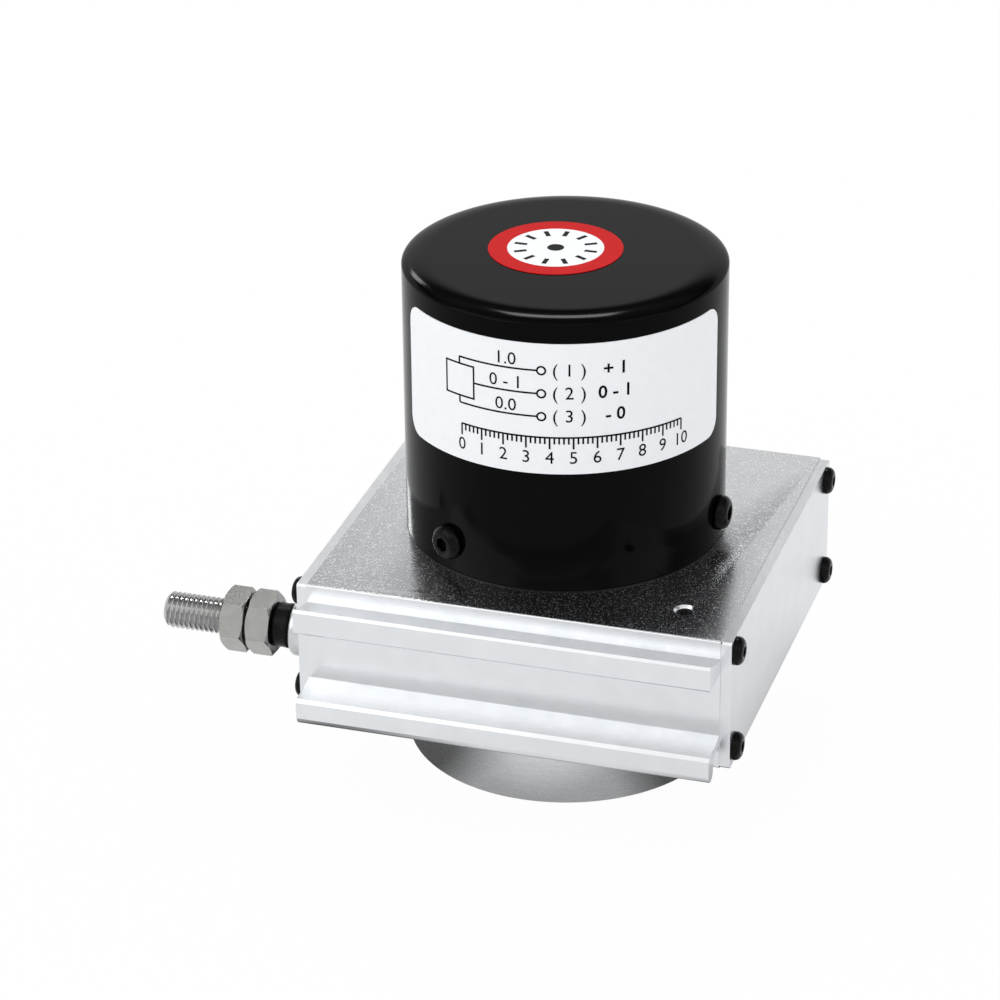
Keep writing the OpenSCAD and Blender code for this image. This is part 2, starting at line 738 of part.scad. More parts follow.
// Three-armed bracket with the potentiometer's hole in its middle
module sensor_bracket() {
  color("lightgray") translate([0, 0, z_bracket]) difference() {
    union() {
      cylinder(r = pot_r + 3, h = bracket_t);
      around(3, standoff_at) {
        translate([0, -standoff_d / 2 - 1, 0])
          cube([standoff_ring_r, standoff_d + 2, bracket_t]);
        translate([standoff_ring_r, 0, 0]) cylinder(r = standoff_d / 2 + 1, h = bracket_t);
      }
    }
    translate([0, 0, -1]) cylinder(r = pot_bush_d / 2 + thread_gap, h = bracket_t + 2);
    around(3, standoff_at) translate([standoff_ring_r, 0, -1])
      cylinder(r = small_screw_d / 2 + clear, h = bracket_t + 2);
  }
}

// Threaded stubs that clamp the bracket between standoffs and spacers
module bracket_screws() {
  color("dimgray") around(3, standoff_at)
    translate([standoff_ring_r, 0, z_bracket - bracket_screw_in])
      cylinder(r = small_screw_d / 2, h = bracket_t + 2 * bracket_screw_in);
}

module potentiometer() {
  color("royalblue") difference() {
    union() {
      translate([0, 0, z_pot + seat_gap]) cylinder(r = pot_r, h = pot_h - seat_gap);
      translate([0, 0, z_pot - pot_bush_len]) cylinder(r = pot_bush_d / 2, h = pot_bush_len + 1);
      for (i = [-1:1]) translate([pot_pin_pitch * i, pot_pin_at, z_pot + pot_h - eps])
        cylinder(r = pot_pin_r, h = board_gap + board_t + 0.5);
    }
    translate([0, 0, z_pot - pot_bush_len - 1])
      cylinder(r = pot_shaft_d / 2 + run_gap, h = pot_bush_len + 6);
  }
}

module potentiometer_nut() {
  nut_h = 2.4;
  color("silver") translate([0, 0, z_bracket - seat_gap - nut_h])
    hex_nut(1.34 * pot_bush_d, nut_h, pot_bush_d / 2 + thread_gap);
}

module board_spacers() {
  len = z_board - z_pot - 2 * seat_gap;
  color("goldenrod") around(3, standoff_at)
    translate([standoff_ring_r, 0, z_pot + seat_gap]) difference() {
      cylinder(r = standoff_d / 2, h = len, $fn = 6);
      translate([0, 0, -1]) cylinder(r = small_screw_d / 2 + thread_gap, h = len + 2);
    }
}

module circuit_board() {
  color("darkgreen") translate([0, 0, z_board]) difference() {
    cylinder(r = board_r, h = board_t);
    around(3, standoff_at) translate([standoff_ring_r, 0, -1])
      cylinder(r = small_screw_d / 2 + clear, h = board_t + 2);
    for (i = [-1:1]) translate([pot_pin_pitch * i, pot_pin_at, -1])
      cylinder(r = pot_pin_r + 0.1, h = board_t + 2);
  }
}

module board_screws() {
  color("dimgray") around(3, standoff_at)
    translate([standoff_ring_r, 0, z_block + seat_gap])
      button_screw(small_screw_d, small_head_d, small_head_h, board_t + board_screw_in);
}

// Three-way block with a wire entry and a screw pocket for each lead
module terminal_block() {
  w = block_size[0];
  d = block_size[1];
  h = block_size[2];
  color("seagreen") translate([-w / 2, -d - block_at, z_block + seat_gap]) difference() {
    cube([w, d, h]);
    for (i = [0:2]) translate([w * (i + 0.5) / 3, 0, 0]) {
      translate([0, -1, h * 0.35]) rotate([-90, 0, 0]) cylinder(r = w / 10, h = block_pocket + 1);
      translate([0, d * 0.6, h - block_pocket]) cylinder(r = w / 9, h = block_pocket + 1);
    }
  }
}

// Deep drawn cover, open below
module sensor_cover() {
  steps = 8;
  z0 = z_top + ring_t + seat_gap;
  r_in = cover_r - cover_wall;
  outer = [for (i = [0:steps]) let (a = 90 * i / steps)
    [cover_r - cover_edge_w * (1 - cos(a)), z_cover_top - cover_edge_h * (1 - sin(a))]];
  inner = [for (i = [steps:-1:0]) let (a = 90 * i / steps)
    [r_in - cover_inner_r * (1 - cos(a)), z_cover_roof - cover_inner_r * (1 - sin(a))]];
  color([0.08, 0.08, 0.09]) difference() {
    rotate_extrude() polygon(concat(
      [[cover_r, z0]], outer, [[0, z_cover_top], [0, z_cover_roof]], inner, [[r_in, z0]]));
    for (a = cover_screw_angles) translate([0, 0, z_top + cover_screw_z]) to_radial(a)
      translate([0, 0, r_in - 2]) cylinder(r = cover_screw_d / 2 + clear, h = cover_wall + 4);
    translate([0, 0, z_top + gland_z]) to_radial(180) translate([0, 0, r_in - 4])
      cylinder(r = gland_d / 2 + clear, h = cover_wall + 8);
  }
}

module cover_screws() {
  color("black") for (a = cover_screw_angles) translate([0, 0, z_top + cover_screw_z])
    to_radial(a) translate([0, 0, cover_r + seat_gap])
      button_screw(cover_screw_d, cover_head_d, cover_head_h, cover_wall + carrier_rim_t);
}

module side_label() {
  color("white") translate([0, 0, z_top + label_z])
    rotate([0, 0, label_mid - label_span / 2 - 90]) rotate_extrude(angle = label_span)
      translate([cover_r + seat_gap, 0]) square([label_t, label_h]);
}

module top_label() {
  color("red") translate([disc_at[0], disc_at[1], z_cover_top + seat_gap])
    cylinder(r = disc_r, h = label_t);
}

module cable_gland() {
  color([0.15, 0.15, 0.16]) translate([0, gland_y, z_top + gland_z])
    rotate([-90, 0, 0]) difference() {
      union() {
        cylinder(r = gland_af / 2 / cos(30), h = gland_hex_h, $fn = 6);
        translate([0, 0, -gland_seal_t - gland_thread_in])
          cylinder(r = gland_d / 2, h = gland_seal_t + gland_thread_in + eps);
        cylinder(r = gland_d / 2, h = gland_hex_h + gland_dome_len * 0.6);
      }
      translate([0, 0, -gland_seal_t - gland_thread_in - 1]) cylinder(r = gland_bore_d / 2,
        h = gland_seal_t + gland_thread_in + gland_hex_h + gland_dome_len + 2);
    }
}

// Rubber washer shaped to the cover's curve on one side
module gland_seal() {
  color([0.1, 0.1, 0.1]) difference() {
    translate([0, cover_r - 2, z_top + gland_z]) rotate([-90, 0, 0])
      tube(gland_af / 2, gland_d / 2 + thread_gap, gland_seal_t + 2);
    translate([0, 0, z_top])
      cylinder(r = cover_r + seat_gap, h = z_cover_top - z_top, $fn = 360);
  }
}

module gland_dome_nut() {
  y = gland_y + seat_gap + gland_hex_h;
  r = gland_af / 2;
  lip = 1.5;
  color([0.15, 0.15, 0.16]) translate([0, y, z_top + gland_z]) rotate([-90, 0, 0]) difference() {
    rotate_extrude() polygon([
      [0, 0], [r, 0], [r, gland_dome_len * 0.55], [r * 0.86, gland_dome_len * 0.85],
      [r * 0.62, gland_dome_len], [0, gland_dome_len]]);
    translate([0, 0, -1]) cylinder(r = gland_d / 2 + thread_gap, h = gland_dome_len - lip + 1);
    cylinder(r = gland_bore_d / 2, h = gland_dome_len + 1);
  }
}

module gland_lock_nut() {
  h = 3;
  corner_r = gland_af / 2 / cos(30);
  y = sqrt(pow(cover_r - cover_wall, 2) - pow(corner_r, 2)) - 0.1;
  color([0.15, 0.15, 0.16]) translate([0, y - h, z_top + gland_z]) rotate([-90, 0, 0])
    hex_nut(gland_af, h, gland_d / 2 + thread_gap);
}

// Grooved rim on a perforated web, with the hub that the shaft passes through
module drum() {
  set_screw_z = z_mid + web_t / 2 + (hub_z + hub_h - z_mid - web_t / 2) / 2;
  color("burlywood") difference() {
    union() {
      translate([0, 0, drum_z0]) rotate_extrude() difference() {
        union() {
          translate([rim_inner_r, 0]) square([land_r - rim_inner_r, rim_h]);
          translate([rim_inner_r, 0]) square([flange_r - rim_inner_r, flange_t]);
          translate([rim_inner_r, rim_h - flange_t])
            square([flange_r - rim_inner_r, flange_t]);
        }
        for (i = [0:wire_turns - 1])
          translate([drum_r, rim_h / 2 + (i - (wire_turns - 1) / 2) * turn_pitch])
            circle(wire_d / 2 + wire_gap, $fn = 24);
      }
      translate([0, 0, z_mid - web_t / 2]) cylinder(r = rim_inner_r + eps, h = web_t);
      translate([0, 0, hub_z]) cylinder(r = hub_r, h = hub_h);
    }
    translate([0, 0, hub_z - 1]) cylinder(r = shaft_r + seat_gap, h = hub_h + 2);
    around(web_holes) translate([web_ring_r, 0, z_mid - web_t])
      cylinder(r = web_hole_r, h = 2 * web_t);
    around(2, 45) translate([0, 0, set_screw_z]) to_radial(90)
      cylinder(r = set_screw_r + thread_gap, h = hub_r + 1);
  }
}

module hub_set_screws() {
  set_screw_z = z_mid + web_t / 2 + (hub_z + hub_h - z_mid - web_t / 2) / 2;
  color("black") around(2, 45) translate([0, 0, set_screw_z]) to_radial(90)
    translate([0, 0, shaft_r + seat_gap]) cylinder(r = set_screw_r, h = hub_r - shaft_r - 0.5);
}

// Clip groove in the shaft, with its lower face at z
module clip_cut(z) {
  translate([0, 0, z]) tube(shaft_r + 1, shaft_r - clip_groove, clip_t + 2 * seat_gap);
}

module drum_shaft() {
  z0 = can_floor + 0.4;
  color("gray") difference() {
    translate([0, 0, z0]) cylinder(r = shaft_r, h = shaft_join_z - shaft_space / 2 - z0);
    clip_cut(lower_clip_z);
    clip_cut(upper_clip_z);
  }
}

module retaining_rings() {
  color("black") for (z = [lower_clip_z, upper_clip_z]) translate([0, 0, z + seat_gap])
    tube(clip_r, shaft_r - clip_groove + seat_gap, clip_t);
}

// Sleeves that hold the hub midway between the two bearings
module hub_spacers() {
  r = shaft_r + race_wall - 0.2;
  low = lower_bearing_z + bearing_w + seat_gap;
  high = hub_z + hub_h + seat_gap;
  color("silver") {
    translate([0, 0, low]) tube(r, shaft_r + seat_gap, hub_z - seat_gap - low);
    translate([0, 0, high]) tube(r, shaft_r + seat_gap, upper_bearing_z - seat_gap - high);
  }
}

// Each turn is drawn as a ring in its own groove; the last one is open where the wire leaves
module wire_winding() {
  leave = 0.6;
  color("dimgray") for (i = [0:wire_turns - 1]) {
    z = z_mid + (i - (wire_turns - 1) / 2) * turn_pitch;
    last = i == wire_turns - 1;
    translate([0, 0, z]) rotate([0, 0, -90 + (last ? leave : 0)])
      rotate_extrude(angle = last ? 290 : 360)
        translate([drum_r, 0]) circle(wire_d / 2, $fn = 24);
  }
}

module spring_arbor() {
  color("gray") translate([0, 0, strip_z]) tube(arbor_r, shaft_r + seat_gap, strip_h);
}

// Split clamp coupling, one screw for each shaft
module shaft_coupling() {
  r = coupling_d / 2;
  color("silver") translate([0, 0, coupling_z]) difference() {
    cylinder(r = r, h = coupling_len);
    translate([0, 0, -1])
      cylinder(r = shaft_r + seat_gap, h = coupling_len / 2 + 1);
    translate([0, 0, coupling_len / 2 - eps])
      cylinder(r = pot_shaft_d / 2 + seat_gap, h = coupling_len);
    for (z = [0.25, 0.75]) translate([0, 0, z * coupling_len]) to_radial(90)
      cylinder(r = set_screw_r + thread_gap, h = r + 1);
  }
}

module coupling_screws() {
  r_in = max(shaft_r, pot_shaft_d / 2) + seat_gap;
  color("black") for (z = [0.25, 0.75]) translate([0, 0, coupling_z + z * coupling_len])
    to_radial(90) translate([0, 0, r_in])
      cylinder(r = set_screw_r, h = coupling_d / 2 - r_in - 0.3);
}

module potentiometer_shaft() {
  shaft_in = 3.25;
  color("gainsboro") translate([0, 0, shaft_join_z + shaft_space / 2])
    cylinder(r = pot_shaft_d / 2, h = z_pot + shaft_in - shaft_join_z - shaft_space / 2);
}

// Wire from the drum's last turn down to the guide bush, then straight out into the ferrule
module wire_run() {
  r = wire_d / 2;
  drop = last_turn_z - outlet_z;
  run = -guide_x;
  slant = atan(drop / run);
  wire_end_x = ferrule_x - ferrule_len * 0.8;
  color("gray") {
    translate([0, outlet_y, last_turn_z]) rotate([0, -90 - slant, 0])
      cylinder(r = r, h = run / cos(slant) + r / 2, $fn = 24);
    translate([guide_x + r / 2, outlet_y, outlet_z]) to_left()
      cylinder(r = r, h = guide_x + r / 2 - wire_end_x, $fn = 24);
  }
}

module wire_ferrule() {
  color("silver") translate([ferrule_x, outlet_y, outlet_z]) to_left() difference() {
    cylinder(r = ferrule_d / 2, h = ferrule_len);
    translate([0, 0, -1]) cylinder(r = wire_d / 2 + seat_gap, h = ferrule_len * 0.85 + 1);
  }
}

// Rubber cap over the stud's inner end, which meets the nose when the wire is wound in
module bumper() {
  color([0.05, 0.05, 0.05]) translate([bumper_x, outlet_y, outlet_z]) to_left() difference() {
    cylinder(r = bumper_d / 2, h = bumper_len);
    translate([0, 0, -1]) cylinder(r = wire_d / 2 + wire_gap, h = bumper_len + 2);
    translate([0, 0, bumper_face_t]) cylinder(r = stud_d / 2 + thread_gap, h = bumper_len);
  }
}

module stud() {
  len = stud_x - stud_tip_x;
  r = stud_d / 2;
  color("lightgray") translate([stud_x, outlet_y, outlet_z]) to_left() difference() {
    union() {
      cylinder(r = r, h = len - stud_chamfer);
      translate([0, 0, len - stud_chamfer]) cylinder(r1 = r, r2 = r - stud_chamfer, h = stud_chamfer);
    }
    translate([0, 0, -1]) cylinder(r = ferrule_d / 2 + seat_gap, h = ferrule_len + 1.5);
  }
}

// Nut on the stud with its first face at x
module stud_nut(x) {
  translate([x, outlet_y, outlet_z]) to_left() rotate([0, 0, nut_turn])
    hex_nut(nut_af, nut_h, stud_d / 2 + thread_gap);
}

module inner_nut() { color("silver") stud_nut(inner_nut_x); }

module outer_nut() { color("silver") stud_nut(outer_nut_x); }

housing();
left_end_plate();
right_end_plate();
left_plate_screws();
right_plate_screws();
wire_outlet();
guide_bush();
spring_can();
can_screws();
mainspring();
lower_bearing_seat();
seat_screws();
lower_bearing();
upper_bearing();
sensor_carrier();
carrier_screws();
standoffs();
sensor_bracket();
bracket_screws();
potentiometer();
potentiometer_nut();
board_spacers();
circuit_board();
board_screws();
terminal_block();
sensor_cover();
cover_screws();
side_label();
top_label();
cable_gland();
gland_seal();
gland_dome_nut();
gland_lock_nut();
drum();
drum_shaft();
hub_spacers();
hub_set_screws();
wire_winding();
bearing_races();
retaining_rings();
spring_arbor();
shaft_coupling();
coupling_screws();
potentiometer_shaft();
wire_run();
wire_ferrule();
bumper();
stud();
inner_nut();
outer_nut();
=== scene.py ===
import math

import bmesh
import bpy
from mathutils import Matrix, Vector


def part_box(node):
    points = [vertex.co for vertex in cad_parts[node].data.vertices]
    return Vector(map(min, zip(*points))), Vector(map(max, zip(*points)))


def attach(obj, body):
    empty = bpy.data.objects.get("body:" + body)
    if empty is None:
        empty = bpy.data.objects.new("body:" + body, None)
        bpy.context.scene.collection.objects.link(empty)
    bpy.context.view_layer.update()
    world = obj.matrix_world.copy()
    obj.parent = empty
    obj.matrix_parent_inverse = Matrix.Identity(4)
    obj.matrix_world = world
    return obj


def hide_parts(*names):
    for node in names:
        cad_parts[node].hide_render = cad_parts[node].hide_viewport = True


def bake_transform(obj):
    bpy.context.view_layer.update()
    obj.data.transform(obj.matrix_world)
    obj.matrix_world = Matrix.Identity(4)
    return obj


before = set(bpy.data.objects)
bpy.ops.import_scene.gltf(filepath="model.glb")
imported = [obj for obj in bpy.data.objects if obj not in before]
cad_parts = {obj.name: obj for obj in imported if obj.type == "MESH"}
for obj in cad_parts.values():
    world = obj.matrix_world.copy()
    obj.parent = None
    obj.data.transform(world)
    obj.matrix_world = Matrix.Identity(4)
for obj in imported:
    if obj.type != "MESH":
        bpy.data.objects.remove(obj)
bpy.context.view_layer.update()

mm = 0.001
whole = 2 * math.pi

print("draw wire encoder: frame loaded,", len(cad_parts), "nodes")


# camera, floor and light

camera = {
    "place": (0.19061, -0.64912, 0.38847),
    "azimuth": 17.437,       # degrees from the front towards the right end
    "elevation": 26.593,
    "roll": -0.592,
    "lens": 141.36,
    "sensor": 36,
    "sees": (0.02, 50),      # nearest and farthest
}

studio = {
    "floorSize": 12.0,
    "floorDrop": 0.0003,     # keeps the floor just under the can
    "aim": (0, 0, 0.05),     # where every lamp points
    "floorColour": (0.88, 0.88, 0.88, 1),
    "floorSeen": 0.97,       # share of plain white that the lens sees, the rest is the lit floor
    "floorMirrored": 0.55,   # the same for metal and gloss
    "skyColour": (0.93, 0.96, 1.0, 1),
    "skyLevel": 0.72,        # light from all around
    # what metal and gloss see behind the object: sine of the height, and level there
    "heights": ((0.0, 0.88), (0.45, 0.88), (0.53, 0.10), (0.62, 0.10), (0.72, 0.40), (1.0, 0.40)),
    "frontLevel": 0.82,      # and in front of it
    "blend": 0.1,            # half the width of the change between the two
    # the object's own shade on the floor, as metal mirrors it: below the housing, and at the can's flanks
    "underReach": (0.034, 0.048), "underShade": 0.40,
    "flankReach": (0.062, 0.078), "flankWide": (0.047, 0.054), "flankShade": 0.85,
    "flankSide": (0.25, 0.75), "flankTurn": 8.0,     # sine of the angle from the lens, and degrees
}

lamps = {
    "wideLeft": {"at": (-1.35, -1.25, 1.25), "size": (1.8, 1.8), "power": 13.0},
    "softRight": {"at": (1.70, -0.60, 0.90), "size": (1.2, 1.4), "power": 3.6},
    "overFront": {"at": (0.20, -1.05, 1.25), "size": (1.1, 0.60), "power": 1.3},
    "backBox": {"at": (-0.233, 0.718, 1.12), "size": (0.34, 0.22), "power": 3.7},
    "backLeft": {"at": (-0.80, 0.95, 0.80), "size": (0.18, 0.18), "power": 0.9},
}


def addToScene(name, data):
    obj = bpy.data.objects.new(name, data)
    bpy.context.scene.collection.objects.link(obj)
    return obj


def emptyTree(owner):
    owner.use_nodes = True
    owner.node_tree.nodes.clear()
    return owner.node_tree


def makeCamera(look):
    turn, tilt, roll = (math.radians(look[key]) for key in ("azimuth", "elevation", "roll"))
    ahead = Vector((-math.sin(turn) * math.cos(tilt), math.cos(turn) * math.cos(tilt), -math.sin(tilt)))
    level = Vector((math.cos(turn), math.sin(turn), 0))
    upright = level.cross(ahead)
    right = level * math.cos(roll) + upright * math.sin(roll)
    up = upright * math.cos(roll) - level * math.sin(roll)
    data = bpy.data.cameras.new("studioCamera")
    data.lens, data.sensor_width = look["lens"], look["sensor"]
    data.clip_start, data.clip_end = look["sees"]
    obj = addToScene("studioCamera", data)
    obj.matrix_world = Matrix.Translation(look["place"]) @ Matrix((right, up, -ahead)).transposed().to_4x4()
    bpy.context.scene.camera = obj


def put(tree, kind, sockets=None, **settings):
    node = tree.nodes.new(kind)
    for key, value in settings.items():
        setattr(node, key, value)
    for key, value in (sockets or {}).items():
        if isinstance(value, bpy.types.NodeSocket):
            tree.links.new(value, node.inputs[key])
        else:
            node.inputs[key].default_value = value
    return node


def calc(tree, operation, first, second=0.0, third=0.0):
    return put(tree, "ShaderNodeMath", {0: first, 1: second, 2: third}, operation=operation).outputs[0]


def ranged(tree, source, low, high, fromLow=0.25, fromHigh=0.75):
    return put(tree, "ShaderNodeMapRange", {"Value": source, "From Min": fromLow, "From Max": fromHigh,
                                            "To Min": low, "To Max": high}).outputs["Result"]


def blended(tree, share, first, second):
    return put(tree, "ShaderNodeMixShader", {0: share, 1: first, 2: second}).outputs[0]


def rayKinds(tree):
    # 1 for the lens, and 1 for reflections and rays through glass
    path = put(tree, "ShaderNodeLightPath").outputs
    return path["Is Camera Ray"], calc(tree, "MAXIMUM", path["Is Glossy Ray"], path["Is Transmission Ray"])


def makeSky(look):
    world = bpy.data.worlds.new("studioWorld")
    bpy.context.scene.world = world
    tree = emptyTree(world)
    lens, mirrored = rayKinds(tree)
    direction = put(tree, "ShaderNodeSeparateXYZ", {0: put(tree, "ShaderNodeTexCoord").outputs["Generated"]})
    fade = put(tree, "ShaderNodeValToRGB", {0: direction.outputs["Z"]})
    for height, level in look["heights"][1:-1]:
        fade.color_ramp.elements.new(height)
    for stop, (height, level) in zip(fade.color_ramp.elements, look["heights"]):
        stop.color = (level, level, level, 1)
    behind = ranged(tree, direction.outputs["Y"], 0, 1, -look["blend"], look["blend"])
    front, light, back, white = (
        put(tree, "ShaderNodeBackground", {"Color": colour, "Strength": level}).outputs[0]
        for colour, level in (((1, 1, 1, 1), look["frontLevel"]), (look["skyColour"], look["skyLevel"]),
                              (fade.outputs["Color"], 1.0), ((1, 1, 1, 1), 1.0)))
    walls = blended(tree, behind, front, back)
    everywhere = blended(tree, mirrored, light, walls)
    put(tree, "ShaderNodeOutputWorld", {0: blended(tree, lens, everywhere, white)})


def makeFloor(look):
    half = look["floorSize"] / 2
    mesh = bpy.data.meshes.new("studioFloor")
    corners = [(x * half, y * half, -look["floorDrop"]) for x, y in ((-1, -1), (1, -1), (1, 1), (-1, 1))]
    mesh.from_pydata(corners, [], [(0, 1, 2, 3)])
    floor = addToScene("studioFloor", mesh)
    paper = bpy.data.materials.new("floorPaper")
    tree = emptyTree(paper)
    lens, mirrored = rayKinds(tree)
    share = calc(tree, "MULTIPLY", lens, look["floorSeen"])
    share = calc(tree, "MULTIPLY_ADD", mirrored, look["floorMirrored"], share)
    point = put(tree, "ShaderNodeTexCoord").outputs["Object"]
    square = put(tree, "ShaderNodeVectorMath", {0: point}, operation="ABSOLUTE").outputs[0]
    square = put(tree, "ShaderNodeSeparateXYZ", {0: square}).outputs
    below = ranged(tree, calc(tree, "MAXIMUM", square["X"], square["Y"]), look["underShade"], 0.0,
                   *look["underReach"])
    turn = (0, 0, -math.radians(look["flankTurn"]))
    turned = put(tree, "ShaderNodeMapping", {0: point, "Rotation": turn}, vector_type="POINT").outputs[0]
    reach = put(tree, "ShaderNodeVectorMath", {0: turned}, operation="LENGTH").outputs["Value"]
    across = calc(tree, "ABSOLUTE", put(tree, "ShaderNodeSeparateXYZ", {0: turned}).outputs["X"])
    sideways = calc(tree, "DIVIDE", across, calc(tree, "MAXIMUM", reach, mm))
    flank = ranged(tree, sideways, 0.0, look["flankShade"], *look["flankSide"])
    flank = calc(tree, "MULTIPLY", flank, ranged(tree, reach, 1.0, 0.0, *look["flankReach"]))
    flank = calc(tree, "MULTIPLY", flank, ranged(tree, square["X"], 1.0, 0.0, *look["flankWide"]))
    shade = calc(tree, "MULTIPLY", calc(tree, "MAXIMUM", below, flank), mirrored)
    matt = put(tree, "ShaderNodeBsdfDiffuse", {"Color": look["floorColour"]}).outputs[0]
    white, dark = (put(tree, "ShaderNodeEmission", {"Color": (1, 1, 1, 1), "Strength": level}).outputs[0]
                   for level in (1.0, 0.0))
    put(tree, "ShaderNodeOutputMaterial", {0: blended(tree, shade, blended(tree, share, matt, white), dark)})
    mesh.materials.append(paper)


def makeLamp(name, look):
    data = bpy.data.lights.new(name, "AREA")
    data.shape = "RECTANGLE"
    data.size, data.size_y = look["size"]
    data.energy = look["power"]
    obj = addToScene(name, data)
    obj.location = look["at"]
    ahead = Vector(studio["aim"]) - Vector(look["at"])
    obj.rotation_euler = ahead.to_track_quat("-Z", "Y").to_euler()


bpy.context.scene.view_settings.view_transform = "Standard"
makeCamera(camera)
makeSky(studio)
makeFloor(studio)
for lampName, lampLook in lamps.items():
    makeLamp(lampName, lampLook)
print("camera, floor and light ready")


# finishes

def layer(kind):
    # size is the width of one feature and height the depth of the relief, in millimetres;
    # stretch lengthens it along an axis, turn turns it, wander bends it
    return lambda size, height=0.0, **more: {"kind": kind, "size": size, "height": height, **more}


grain, rings, bands, cells = (layer(kind) for kind in ("grain", "rings", "bands", "cells"))

# bright flat spots of a blasted surface, seen on top of the node alone
blasted = {"size": 0.17, "share": 0.09, "soft": 0.8, "rough": 0.46, "colour": (0.80, 0.81, 0.82),
           "deep": 0.05}

